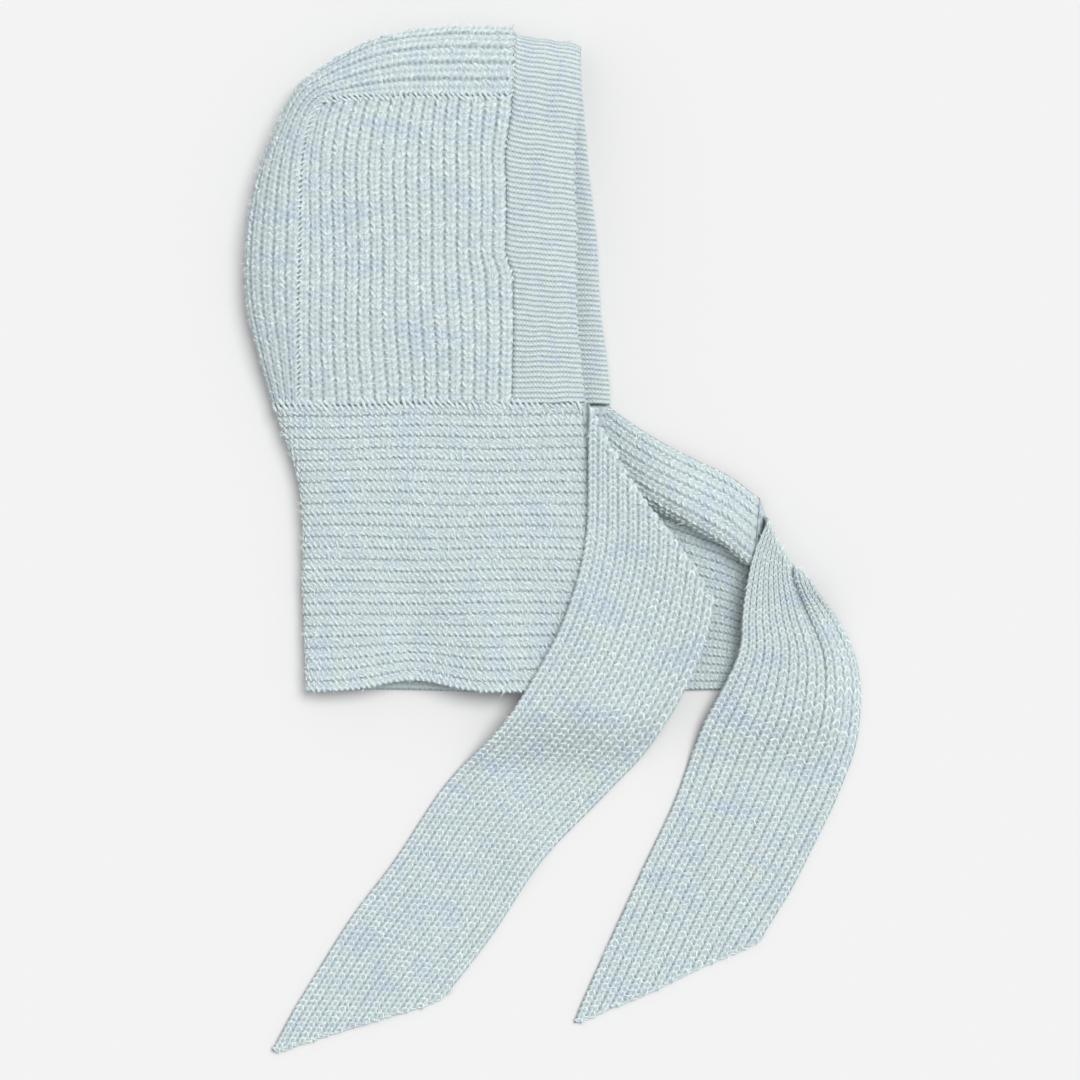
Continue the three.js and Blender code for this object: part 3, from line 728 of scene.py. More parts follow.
def tie_surface(tie):
    """A short lower run, the turn over the fold, and the long upper run to the slanted point."""
    knit = bpy.context.scene.scarf_knit
    rib_count = tie["ribs"]
    rows_of = {"lower": 12, "turn": 12, "upper": tie["upper_rows"]}
    table_rows = tie["courses"]

    def course(at, down):
        turn = np.radians(read(table_rows, "turn", at))
        width = tie["width"] * read(table_rows, "width", at) * down
        x = tie["start"][0] + tie["length"] * read(table_rows, "across", at) + width * np.cos(turn)
        y = tie["start"][1] - tie["length"] * read(table_rows, "down", at) + width * np.sin(turn)
        return np.stack([x, y], -1)

    columns, places = [], []
    for down in np.linspace(0, 1, rib_count * PER_RIB + 1):
        fold_at = tie["fold_at_hem"] * down ** tie["fold_bend"]
        corner = 0.009 * max(0, 1 - down / 0.08) ** 2 + 0.014 * max(0, (down - 0.9) / 0.1) ** 2
        end_at = mix(1, tie["point_at_hem"], down) - corner
        begin = tie["begin"](down)
        fold = course(fold_at, down)
        inward = fold - begin[:2]
        inward /= max(np.linalg.norm(inward), 1e-6)
        onward = course(fold_at + 0.02, down) - fold
        onward /= np.linalg.norm(onward)
        bulge = 3 * (1 + math.sqrt(down))
        low = tie["fold_height"](down)
        lift = tie["lift"](fold_at, down, fold)
        share = np.arange(rows_of["lower"])[:, None] / rows_of["lower"]
        under = mix(begin[:2], fold - inward * bulge, share)
        under = np.hstack([under, mix(begin[2], low, smooth(share))])
        angle = (np.arange(rows_of["turn"])[:, None] / rows_of["turn"] - 0.5) * math.pi
        run = np.where(angle < 0, -inward, onward)
        over = fold + run * bulge * (1 - np.cos(angle))
        over = np.hstack([over, mix(low, lift, (1 + np.sin(angle)) / 2)])
        at = np.linspace(fold_at + 1.2 * bulge / tie["length"], end_at, rows_of["upper"] + 1)
        plan = course(at, down)
        upper = np.column_stack([plan, tie["lift"](at, down, plan)])
        columns.append(np.vstack([under, over, upper]))
        turned = np.linspace(-1, 1, rows_of["turn"]) * bulge / tie["length"]
        below = fold_at - (1 - share[:, 0]) * np.linalg.norm(fold - begin[:2]) / tie["length"]
        places.append(np.r_[below - bulge / tie["length"], fold_at + turned, at])
    points = settled(np.array(columns).transpose(1, 0, 2))
    courses = np.array(places).T * tie["length"] / (knit.course / MM)
    down = np.linspace(0, 1, rib_count * PER_RIB + 1)
    ribs = np.broadcast_to(down * rib_count, points.shape[:2])
    return points, ribs, courses


def near_tie():
    """The near tie: folded on the collar's upper layer, then down over the hem to the table."""
    half = bpy.context.scene.scarf_knit.thickness / MM / 2

    def begin(down):
        x, y = collar_near_end(down), -SEAM_ON_PLAN - down * (COLLAR_HEIGHT - SEAM_ON_PLAN)
        return np.array([x + SEAM_GAP, y, float(upper_height(x, y))])

    def lift(at, down, plan):
        x, y = plan[..., 0], np.minimum(0, plan[..., 1])
        under = mix(upper_height(np.minimum(0, x), y), FOLD_REST, np.clip(x / 101, 0, 1))
        past = at - NEAR_FOLD_AT_HEM * down**NEAR_FOLD_BEND
        loft = FOLD_LOFT * math.sqrt(down) * bell(past / 0.09)
        wave = 1.2 * softness(plan[..., 0] * 1.4, plan[..., 1] * 0.8, 40) * smooth(at * 6)
        raised = np.maximum(half, half + wave * (1 - over_hem(y)) * 1.6)
        return mix(raised, under + LAYER_STEP + loft + wave, over_hem(y))

    return {
        "courses": NEAR_TIE, "start": (0.0, 0.0), "length": TIE_NEAR_LENGTH,
        "width": TIE_NEAR_WIDTH, "ribs": 13, "upper_rows": 210,
        "fold_at_hem": NEAR_FOLD_AT_HEM, "fold_bend": NEAR_FOLD_BEND, "point_at_hem": 0.8,
        "begin": begin, "lift": lift,
        "fold_height": lambda down: mix(float(upper_height(0, 0)), FOLD_REST, float(smooth(down))),
        "knit": "brushed_mohair_soft_rib_knit",
    }


def far_tie():
    """The far tie: out of the pleat, folded over beside the hem, then along the table."""
    half = bpy.context.scene.scarf_knit.thickness / MM / 2

    def begin(down):
        point = pleat_point(collar_far_end(down), down)
        point[0] += SEAM_GAP
        return point

    def lift(at, down, plan):
        over = PLEAT_HEIGHT - 3 + half + LAYER_STEP
        resting = mix(over + 2, half + LAYER_STEP + 4, smooth(at / 0.4))
        side = 1 - smooth((down - 0.72) / 0.28) * smooth((at - 0.1) / 0.15)
        crease = 6 * bell((down - 0.68) / 0.06) * smooth((0.34 - at) / 0.2)
        wave = 1.0 * softness(plan[..., 0], plan[..., 1], 36) * smooth(at * 5)
        raised = mix(half, resting, side) - crease * side + wave
        flat = np.maximum(half, half + 1.4 * wave)
        return mix(flat, np.maximum(half, raised), over_hem(plan[..., 1]))

    return {
        "courses": FAR_TIE, "start": (PLEAT_REACH + 6.4, -COLLAR_HEIGHT * 0.395),
        "length": TIE_FAR_LENGTH, "width": TIE_FAR_WIDTH, "ribs": 14, "upper_rows": 165,
        "fold_at_hem": 0.083, "fold_bend": 1.0, "point_at_hem": 0.725, "begin": begin, "lift": lift,
        "fold_height": lambda down: mix(half + 3.25, FOLD_REST, float(smooth(down * 2))),
        "knit": "brushed_mohair_rib_knit",
    }


# Materials

def add(tree, kind, inputs=(), **settings):
    """A new node with its settings and its inputs, each a value, or a socket or node to link.

    Inputs are a dictionary by name or number, or a tuple in order. A kind in capitals is an
    operation of the maths node. A node that is linked gives its first output.
    """
    if kind.isupper():
        kind, settings = "ShaderNodeMath", {"operation": kind}
    node = tree.nodes.new(kind)
    for key, value in settings.items():
        setattr(node, key, value)
    for key, value in inputs.items() if isinstance(inputs, dict) else enumerate(inputs):
        if isinstance(value, bpy.types.Node):
            value = value.outputs[0]
        if isinstance(value, bpy.types.NodeSocket):
            tree.links.new(value, node.inputs[key])
        else:
            node.inputs[key].default_value = value
    return node


def melange(tree):
    """Mint, pale blue and a little yellow-green, in streaks that run along the courses as plied
    melange yarn knits up: about 7 ribs long and 4 courses high, with paler flecks of 2 mm."""
    yarn = bpy.context.scene.scarf_yarn
    stitch = add(tree, "ShaderNodeAttribute", attribute_name="stitch").outputs["Vector"]
    place = add(tree, "ShaderNodeTexCoord").outputs["Object"]
    run = add(tree, "ShaderNodeVectorMath", (stitch, STREAKS), operation="MULTIPLY")
    apart = add(tree, "ShaderNodeVectorMath", (run, place), operation="ADD")
    shifted = add(tree, "ShaderNodeVectorMath", (apart, (31.7, 12.3, 5.1)), operation="ADD")
    colour = (*yarn.mint, 1)
    for where, size, detail, rough, twist, start, full, most, dye in (
        (apart, 1.0, 3.0, 0.65, 0.5, 0.45, 0.68, 0.95, yarn.blue),
        (shifted, 0.8, 3.0, 0.6, 0.5, 0.55, 0.75, 0.7, yarn.lime),
        (place, 2.2 * MM, 2.0, 0.75, 0.0, 0.4, 0.68, 0.75, yarn.pale),
    ):
        spots = add(tree, "ShaderNodeTexNoise", {
            "Vector": where, "Scale": 1 / size, "Detail": detail, "Roughness": rough,
            "Distortion": twist,
        })
        share = add(tree, "ShaderNodeMapRange", (spots, start, full, 0.0, most),
                    interpolation_type="SMOOTHSTEP")
        dyed = add(tree, "ShaderNodeMix", {0: share, 6: colour, 7: (*dye, 1)}, data_type="RGBA")
        colour = dyed.outputs[2]
    return colour


def yarn_surface(tree, colour, height):
    """Matt woolly shading: no gloss, and a pale bloom at grazing angles from raised fibres."""
    bump = add(tree, "ShaderNodeBump", {"Height": height, "Strength": 0.8, "Distance": 0.9 * MM})
    shader = add(tree, "ShaderNodeBsdfPrincipled", {
        "Base Color": colour, "Normal": bump, "Roughness": 0.95, "Specular IOR Level": 0.15,
        "Sheen Weight": 0.3, "Sheen Roughness": 0.5,
        "Sheen Tint": (*bpy.context.scene.scarf_yarn.pale, 1),
    })
    add(tree, "ShaderNodeOutputMaterial", {"Surface": shader})


def fibre_height(tree):
    """Fine tangled fibres: strands of about 1.6 mm with hairs of half a millimetre over them."""
    place = add(tree, "ShaderNodeTexCoord").outputs["Object"]
    wisps, hairs = [
        add(tree, "ShaderNodeTexNoise", {
            "Vector": place, "Scale": 1 / (size * MM), "Detail": detail, "Roughness": rough,
            "Distortion": twist,
        })
        for size, detail, rough, twist in ((1.6, 3.0, 0.75, 1.6), (0.6, 2.0, 0.8, 2.5))
    ]
    return wisps, add(tree, "MULTIPLY_ADD", (hairs, 0.5, wisps))


# Bodies of knit: how much painted shade goes in the holes along each rib's middle and in its grooves,
# and how much painted highlight lies along its ridges. The collar's slanted stitches hide most of its
# holes.
BODIES = {
    "brushed_mohair_rib_knit": (0.6, 1.0, 0.0),
    "brushed_mohair_skewed_rib_knit": (0.2, 0.85, 0.0),
    "brushed_mohair_soft_rib_knit": (0.8, 0.8, 0.0),
    "brushed_mohair_fine_rib_knit": (0.0, 0.95, 0.7),
}


def rib_knit_below(tree, hole_shade, groove_shade, ridge_highlight_share):
    """The body of the rib knit below its raised stitches: the same matt yarn with painted shade, a
    blue-grey mixed in all over under the stitches and deeper in the grooves between ribs and in the
    holes between stitches, and a painted highlight in pale along fine ridges."""
    yarn = bpy.context.scene.scarf_yarn
    stitch = add(tree, "ShaderNodeAttribute", attribute_name="stitch").outputs["Vector"]
    across, along, _ = add(tree, "ShaderNodeSeparateXYZ", (stitch,)).outputs
    aside = add(tree, "SUBTRACT", (add(tree, "FRACT", (across,)), 0.5))
    off = add(tree, "MULTIPLY", (add(tree, "ABSOLUTE", (aside,)), 2.0))
    turn = add(tree, "MULTIPLY", (along, 2 * math.pi))
    beat = add(tree, "COSINE", (turn,))
    dots = add(tree, "MULTIPLY_ADD", (beat, 0.3 * groove_shade, 0.7 * groove_shade))
    wisps, height = fibre_height(tree)
    edge, ridge, gaps, tangle, ridge_highlight = [
        add(tree, "ShaderNodeMapRange", values, interpolation_type="SMOOTHSTEP")
        for values in (
            (off, 0.5, 1.0, 0.0, 1.0),
            (off, 0.0, 0.35, 1.0, 0.0),
            (beat, -1.0, 0.6, hole_shade, 0.2 * hole_shade),
            (wisps, 0.3, 0.7, 1.0, 0.6),
            (wisps, 0.35, 0.6, 0.3 * ridge_highlight_share, ridge_highlight_share),
        )
    ]
    holes = add(tree, "MULTIPLY", (ridge, gaps))
    deep = add(tree, "MAXIMUM", (add(tree, "MULTIPLY", (edge, dots)), holes))
    legs = add(tree, "COSINE", (add(tree, "MULTIPLY_ADD", (off, 3.4, turn)),))
    height = add(tree, "MULTIPLY_ADD", (legs, 0.3, height))
    height = add(tree, "MULTIPLY_ADD", (deep, -0.7, height))
    # Painted shade: blue-grey under the stitches, deepest in the grooves and holes where shade falls.
    shade = add(tree, "MULTIPLY", (add(tree, "MULTIPLY_ADD", (deep, 0.6, 0.4)), tangle))
    # Painted highlight: pale along the crests of the fine ridges.
    pale = add(tree, "MULTIPLY", (ridge, ridge_highlight))
    colour = melange(tree)
    for share, over in ((shade, yarn.painted_shade), (pale, yarn.pale)):
        mixed = add(tree, "ShaderNodeMix", {0: share, 6: colour, 7: (*over, 1)}, data_type="RGBA")
        colour = mixed.outputs[2]
    yarn_surface(tree, colour, height)


def raised_stitches(tree):
    """Brushed mohair-blend yarn: pale, matt and woolly, its plies lost in tangled fibre, with painted
    shade in blue-grey in the gaps between its fibres.
    """
    wisps, height = fibre_height(tree)
    # Painted shade: darker blue-grey where the fibre noise is low, in the gaps between fibres.
    shade = add(tree, "ShaderNodeMapRange", (wisps, 0.34, 0.56, 0.42, 0.0),
                interpolation_type="SMOOTHSTEP")
    mixed = add(tree, "ShaderNodeMix", {
        0: shade, 6: melange(tree), 7: (*bpy.context.scene.scarf_yarn.painted_shade, 1),
    }, data_type="RGBA")
    yarn_surface(tree, mixed.outputs[2], height)


def loose_fibre(tree):
    """Mohair fibre brushed out of the yarn: fine, pale and matt, lit softly from all sides."""
    mixed = add(tree, "ShaderNodeMix", {
        0: 0.5, 6: melange(tree), 7: (*bpy.context.scene.scarf_yarn.pale, 1),
    }, data_type="RGBA")
    shader = add(tree, "ShaderNodeBsdfPrincipled", {
        "Base Color": mixed.outputs[2], "Roughness": 0.8, "Specular IOR Level": 0.2,
        "Sheen Weight": 0.3, "Sheen Roughness": 0.4,
    })
    add(tree, "ShaderNodeOutputMaterial", {"Surface": shader})


def matt_sweep(tree):
    """Matt white studio sweep: even and pale, with no gloss."""
    shader = add(tree, "ShaderNodeBsdfPrincipled", {
        "Base Color": (*bpy.context.scene.scarf_stage.floor, 1), "Roughness": 0.9,
        "Specular IOR Level": 0.1,
    })
    add(tree, "ShaderNodeOutputMaterial", {"Surface": shader})


def material_named(name, make, *look):
    """The material of that name, made the first time with an empty tree."""
    material = bpy.data.materials.get(name)
    if material is None:
        material = bpy.data.materials.new(name)
        material.use_nodes = True
        material.node_tree.nodes.clear()
        make(material.node_tree, *look)
    return material


# Stitches and loose fibres, by Geometry Nodes

def new_tree(name, named_inputs):
    """An empty tree with named inputs, their sockets' identifiers and the input node's outputs."""
    tree = bpy.data.node_groups.new(name, "GeometryNodeTree")
    face = tree.interface
    face.new_socket("Geometry", in_out="INPUT", socket_type="NodeSocketGeometry")
    sockets = {}
    for title, kind in named_inputs.items():
        made = face.new_socket(title, in_out="INPUT", socket_type="NodeSocket" + kind)
        sockets[title] = made.identifier
    face.new_socket("Geometry", in_out="OUTPUT", socket_type="NodeSocketGeometry")
    return tree, sockets, add(tree, "NodeGroupInput").outputs


def close_tree(tree, instances, material):
    """Realizes the instances, lifts what sinks below the table and gives the material."""
    real = add(tree, "GeometryNodeRealizeInstances", (instances,))
    place = add(tree, "ShaderNodeSeparateXYZ", (add(tree, "GeometryNodeInputPosition"),))
    east, north, height = place.outputs
    above = add(tree, "MAXIMUM", (height, LEAST_STITCH_HEIGHT * MM))
    lifted = add(tree, "ShaderNodeCombineXYZ", (east, north, above))
    moved = add(tree, "GeometryNodeSetPosition", {"Geometry": real, "Position": lifted})
    dressed = add(tree, "GeometryNodeSetMaterial", {"Geometry": moved, "Material": material})
    add(tree, "NodeGroupOutput", (dressed,))


def yarn_leg(tree, hand, given):
    """One leg of a stitch: a strand that leans out from its rib's middle, bulges and thins.

    With Twill 0 both legs lean the same way along the rib, as in a V. With Twill 1 they lie in
    one slanted line across it.
    """
    reach, twill, splay = given["Reach"], given["Twill"], given["Splay"]
    upright = add(tree, "MULTIPLY", (reach, add(tree, "SUBTRACT", (1.0, twill))))
    slant = add(tree, "MULTIPLY", (add(tree, "MULTIPLY", (reach, twill)), 2 * hand))
    swung = add(tree, "MULTIPLY", (splay, given["Bend"]))
    halfway = add(tree, "MULTIPLY", (slant, 0.5))
    places = {
        "Start": (given["Root"], add(tree, "MULTIPLY", (upright, -0.95)), -0.07),
        "Middle": (swung, add(tree, "MULTIPLY_ADD", (upright, -0.35, halfway)), 0.16),
        "End": (splay, add(tree, "MULTIPLY_ADD", (upright, 1.05, slant)), -0.13),
    }
    curve = {"Resolution": given["Rings"]}
    for name, (out, onward, up) in places.items():
        aside = add(tree, "MULTIPLY", (out, hand))
        curve[name] = add(tree, "ShaderNodeCombineXYZ", (aside, onward, up))
    along = add(tree, "GeometryNodeSplineParameter")
    swell = add(tree, "SINE", (add(tree, "MULTIPLY", (along, math.pi)),))
    thick = add(tree, "GeometryNodeSetCurveRadius", {
        "Curve": add(tree, "GeometryNodeCurveQuadraticBezier", curve),
        "Radius": add(tree, "MULTIPLY_ADD", (swell, 0.45, 0.55)),
    })
    ring = add(tree, "GeometryNodeCurvePrimitiveCircle", {
        "Resolution": given["Sides"], "Radius": given["Strand"],
    })
    strand = add(tree, "GeometryNodeCurveToMesh", {
        "Curve": thick, "Profile Curve": ring, "Fill Caps": True,
    })
    return add(tree, "GeometryNodeSetShadeSmooth", (strand,))


def stitch_tree():
    """Two slanted legs of yarn at each point, turned along its rib and as large as its stitch."""
    tree, sockets, given = new_tree("knit_stitches", {
        "Strand": "Float", "Root": "Float", "Splay": "Float", "Reach": "Float", "Bend": "Float",
        "Twill": "Float", "Rings": "Int", "Sides": "Int", "Unevenness": "Float", "Seed": "Int",
        "Material": "Material",
    })
    both = add(tree, "GeometryNodeJoinGeometry")
    for hand in (-1, 1):
        tree.links.new(yarn_leg(tree, hand, given).outputs[0], both.inputs[0])
    along, outward, size = [
        add(tree, "GeometryNodeInputNamedAttribute", {"Name": name}, data_type="FLOAT_VECTOR")
        for name in ("along", "outward", "size")
    ]
    facing = add(tree, "FunctionNodeAlignRotationToVector", {"Vector": outward}, axis="Z")
    turned = add(tree, "FunctionNodeAlignRotationToVector", {
        "Rotation": facing, "Vector": along,
    }, axis="Y", pivot_axis="Z")
    *leans, swell = [
        add(tree, "FunctionNodeRandomValue", {
            2: least, 3: most, "Seed": add(tree, "ADD", (given["Seed"], step)),
        }, data_type="FLOAT").outputs[1]
        for step, least, most in ((0, -1.0, 1.0), (1, -1.0, 1.0), (2, -1.0, 1.0), (9, 0.85, 1.12))
    ]
    leans = [add(tree, "MULTIPLY", (lean, given["Unevenness"])) for lean in leans]
    wobble = add(tree, "FunctionNodeEulerToRotation", (add(tree, "ShaderNodeCombineXYZ", leans),))
    placed = add(tree, "GeometryNodeInstanceOnPoints", {
        "Points": given["Geometry"], "Instance": both,
        "Rotation": add(tree, "FunctionNodeRotateRotation", (turned, wobble),
                        rotation_space="LOCAL"),
        "Scale": add(tree, "ShaderNodeVectorMath", {0: size, 3: swell}, operation="SCALE"),
    })
    close_tree(tree, placed, given["Material"])
    return tree, sockets


def fibre_tree():
    """Short bent fibres scattered over a panel's faces, leaning every way."""
    tree, sockets, given = new_tree("brushed_fibres", {
        "Density": "Float", "Length": "Float", "Width": "Float", "Seed": "Int",
        "Material": "Material",
    })
    normal = add(tree, "ShaderNodeSeparateXYZ", (add(tree, "GeometryNodeInputNormal"),))
    scatter = add(tree, "GeometryNodeDistributePointsOnFaces", {
        "Mesh": given["Geometry"], "Density": given["Density"], "Seed": given["Seed"],
        "Selection": add(tree, "GREATER_THAN", (normal.outputs["Z"], -0.2)),
    })
    blade = add(tree, "GeometryNodeMeshGrid", {
        "Size X": 1.0, "Size Y": given["Width"], "Vertices X": 3, "Vertices Y": 2,
    })
    place = add(tree, "ShaderNodeSeparateXYZ", (add(tree, "GeometryNodeInputPosition"),))
    east, north, _ = place.outputs
    along = add(tree, "ADD", (east, 0.5))
    taper = add(tree, "SUBTRACT", (1.0, add(tree, "MULTIPLY", (along, 0.75))))
    arc = add(tree, "MULTIPLY", (add(tree, "MULTIPLY", (along, along)), -0.3))
    bent = add(tree, "ShaderNodeCombineXYZ", (along, add(tree, "MULTIPLY", (north, taper)), arc))
    curved = add(tree, "GeometryNodeSetPosition", {"Geometry": blade, "Position": bent})
    lean, turn, share = [
        add(tree, "FunctionNodeRandomValue", {
            2: least, 3: most, "Seed": add(tree, "ADD", (given["Seed"], step)),
        }, data_type="FLOAT").outputs[1]
        for step, least, most in ((3, 0.1, 0.75), (7, 0.0, 2 * math.pi), (13, 0.4, 1.0))
    ]
    tilt = add(tree, "ShaderNodeCombineXYZ", (0.0, add(tree, "MULTIPLY", (lean, -1.0)), turn))
    turned = add(tree, "FunctionNodeEulerToRotation", (tilt,))
    size = add(tree, "MULTIPLY", (given["Length"], share))
    placed = add(tree, "GeometryNodeInstanceOnPoints", {
        "Points": scatter, "Instance": curved,
        "Rotation": add(tree, "FunctionNodeRotateRotation", (scatter.outputs["Rotation"], turned),
                        rotation_space="LOCAL"),
        "Scale": add(tree, "ShaderNodeCombineXYZ", (size, 1.0, size)),
    })
    close_tree(tree, placed, given["Material"])
    return tree, sockets


def grown(name, mesh, made_tree, values):
    """The plain mesh that a tree makes from a mesh, as a piece of its own."""
    tree, sockets = made_tree
    piece = bpy.data.objects.new(name, mesh)
    bpy.context.scene.collection.objects.link(piece)
    modifier = piece.modifiers.new(tree.name, "NODES")
    modifier.node_group = tree
    for title, value in values.items():
        modifier[sockets[title]] = value
    view = bpy.context.evaluated_depsgraph_get()
    made = bpy.data.meshes.new_from_object(piece.evaluated_get(view))
    if not made.polygons:
        raise RuntimeError(f"{name}: the tree made no faces")
    piece.modifiers.clear()
    piece.data = made
    made.name = name
    for unused in ("along", "outward", "size"):
        if unused in made.attributes:
            made.attributes.remove(made.attributes[unused])
    return piece


# Forms of the raised stitches, and how uneven each lies. A strand's radius and how far out its
# leg starts and ends are in widths of a rib, and its reach is in heights of a course. Bend is where
# the leg bulges, and Twill how far both legs lie in one slanted line.
STITCH = {
    "Strand": 0.155, "Root": 0.02, "Splay": 0.36, "Reach": 0.58, "Bend": 0.95, "Twill": 0.0,
    "Rings": 3, "Sides": 5,
}
SLANTED = {"Bend": 0.5, "Twill": 1.0}
FINE = {"Root": 0.0, "Rings": 2, "Sides": 4}
FORMS = {
    "crown": ({"Strand": 0.14, "Splay": 0.33, "Reach": 0.44}, 2.2),
    "side": ({"Strand": 0.15, "Splay": 0.33, "Reach": 0.5}, 1.5),
    "seam": ({**SLANTED, "Strand": 0.2, "Splay": 0.42, "Reach": 0.3}, 2.2),
    "band": ({**SLANTED, **FINE, "Strand": 0.15, "Splay": 0.42, "Reach": 0.26}, 3.5),
    "collar": ({**SLANTED, **FINE, "Strand": 0.22, "Splay": 0.38, "Reach": 0.15}, 3.0),
    "pleat": ({"Strand": 0.125, "Root": 0.08, "Splay": 0.34, "Reach": 0.32, "Bend": 0.7}, 2.0),
    "tie_near": ({"Strand": 0.145, "Root": 0.07, "Splay": 0.36, "Reach": 0.3, "Bend": 0.6}, 1.0),
    "tie_far": ({"Strand": 0.15, "Root": 0.05, "Splay": 0.37, "Reach": 0.28, "Bend": 0.6}, 1.0),
    "tie_end": ({"Strand": 0.2, "Splay": 0.3}, 2.5),
}


def lay_stitches(name, rows, form):
    """A piece of stitches from rows of place, direction, facing, size and pattern marks."""
    legs, uneven = FORMS[form]
    mesh = bpy.data.meshes.new(name)
    mesh.from_pydata(((rows[:, :3] + CHIN) * MM).tolist(), [], [])
    mark(mesh, "along", rows[:, 3:6])
    mark(mesh, "outward", rows[:, 6:9])
    mark(mesh, "size", rows[:, 9:12] * MM)
    mark(mesh, "stitch", rows[:, 12:15])
    piece = grown(name, mesh, stitch_tree(), {
        **STITCH, **legs, "Unevenness": bpy.context.scene.scarf_knit.unevenness * uneven,
        "Seed": len(rows), "Material": material_named("brushed_mohair_stitches", raised_stitches),
    })
    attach(piece, "root")


def brush_out(name, seed):
    """A piece of loose fibres over a piece of stitches."""
    fuzz = bpy.context.scene.scarf_fuzz
    mesh = bpy.data.objects[name + "_stitches"].data.copy()
    fibres = grown(name + "_fuzz", mesh, fibre_tree(), {
        "Density": fuzz.density, "Length": fuzz.length, "Width": fuzz.width, "Seed": seed,
        "Material": material_named("brushed_out_mohair_fibre", loose_fibre),
    })
    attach(fibres, "root")


# Operators


def dress(piece, node, knit="brushed_mohair_rib_knit"):
    """Gives a panel its material, puts it under the root body and hides the CAD node that it stands
    for.
    """
    piece.data.materials.append(material_named(knit, rib_knit_below, *BODIES[knit]))
    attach(piece, "root")
    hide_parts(node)


class SCARF_OT_hood(bpy.types.Operator):
    """Knits the crown strip and the two side panels of the hood"""

    bl_idname = "scarf.hood"
    bl_label = "Hood panels"

    def execute(self, context):
        sunk = context.scene.scarf_knit.sunk / MM
        crown, near, far = crown_surface(), side_surface(True), side_surface(False)
        piece = knit_panel("crown_panel_knit", *crown, {
            "outer": -1, "sunk": {-1: sunk}, **thinned(crown[0], 3, 2),
        })
        dress(piece, "crown_panel")
        rows = stitch_points(crown, -1, range(CROWN_RIBS_SEEN), (0, -1), sunk)
        lay_stitches("crown_panel_stitches", rows, "crown")
        piece = knit_panel("hood_side_near_knit", *near, {
            "outer": -1, "sunk": {-1: sunk}, **thinned(near[0], 2, 2),
        })
        dress(piece, "hood_side_near")
        rows = stitch_points(near, -1, range(SIDE_RIBS), (0, -1), sunk)
        lay_stitches("hood_side_near_stitches", rows, "side")
        band_side = np.s_[: 6 * PER_RIB]
        seams = np.vstack([
            edge_stitches(near, -1, np.s_[-1, :], np.s_[:], wide=8.0, tall=4.2, lift=1.6),
            edge_stitches(near, -1, np.s_[:, 0], np.s_[:], wide=7.0, tall=4.2, lift=1.4),
            edge_stitches(near, -1, np.s_[:, -2], np.s_[:], wide=5.5, tall=5.0, lift=0.7),
            edge_stitches(crown, -1, np.s_[1, :], band_side, wide=5.5, tall=5.0, lift=0.7),
        ])
        lay_stitches("hood_side_seam_stitches", seams, "seam")
        piece = knit_panel("hood_side_far_knit", *far, {
            "outer": 1, "outer_rows": thin(len(far[0]), 2), **thinned(far[0], 4),
        })
        dress(piece, "hood_side_far")
        return {"FINISHED"}


class SCARF_OT_band(bpy.types.Operator):
    """Knits the doubled band round the face opening, with every second valley a little deeper"""

    bl_idname = "scarf.band"
    bl_label = "Face band"

    def execute(self, context):
        points, ribs, courses, thickness = band_surface()
        band = knit_panel("face_band_knit", points, ribs, courses, {
            "outer": -1, "thickness": thickness, "free": ("end",), "sunk": {1: 0.3, -1: 0.3},
            "relief": ridge_relief,
        })
        dress(band, "face_band", "brushed_mohair_fine_rib_knit")
        halves = points, 2 * ribs, courses
        options = {"stagger": 0.3, "shift": 1, "thickness": thickness}
        valleys = []
        for first, low in ((0, 0.4), (1, 1.0)):
            outer = range(first, BAND_RIBS + VALLEYS_PAST_TOP, 2)
            inner = range(BAND_RIBS + first, 2 * BAND_RIBS, 2)
            inside = (HIDDEN_BAND_ROWS, -1)
            valleys.append(stitch_points(halves, -1, outer, (0, -1), low, **options))
            valleys.append(stitch_points(halves, 1, inner, inside, low, **options))
        lay_stitches("face_band_stitches", np.vstack(valleys), "band")
        return {"FINISHED"}


class SCARF_OT_collar(bpy.types.Operator):
    """Knits the wide collar and its pleat"""

    bl_idname = "scarf.collar"
    bl_label = "Collar"

    def execute(self, context):
        sunk = context.scene.scarf_knit.sunk / MM
        surface, stretches, front, back = collar_surface()
        collar = knit_panel("neck_collar_knit", *surface, {
            "outer": 1, "outer_rows": front, "inner_rows": back, "free": ("last",),
            "inner_columns": thin(surface[0].shape[1], 2), "sunk": {1: sunk, -1: sunk},
        })
        dress(collar, "neck_collar", "brushed_mohair_skewed_rib_knit")
        halves = surface[0], 2 * surface[1], surface[2]
        seen = (0, stretches["turn"][1])
        outer = stitch_points(halves, 1, range(2 * COLLAR_RIBS), seen, sunk, stagger=-0.69)
        lay_stitches("neck_collar_stitches", outer, "collar")
        top, above = np.s_[:, 0], np.s_[: seen[1]]
        seam = edge_stitches(surface, 1, top, above, wide=9.0, tall=4.6, lift=1.5)
        lay_stitches("hood_seam_stitches", seam, "seam")
        inside = (stretches["pleat"][0], -1)
        pleat = stitch_points(surface, -1, range(COLLAR_RIBS), inside, sunk + 0.3)
        lay_stitches("neck_collar_pleat_stitches", pleat, "pleat")
        return {"FINISHED"}


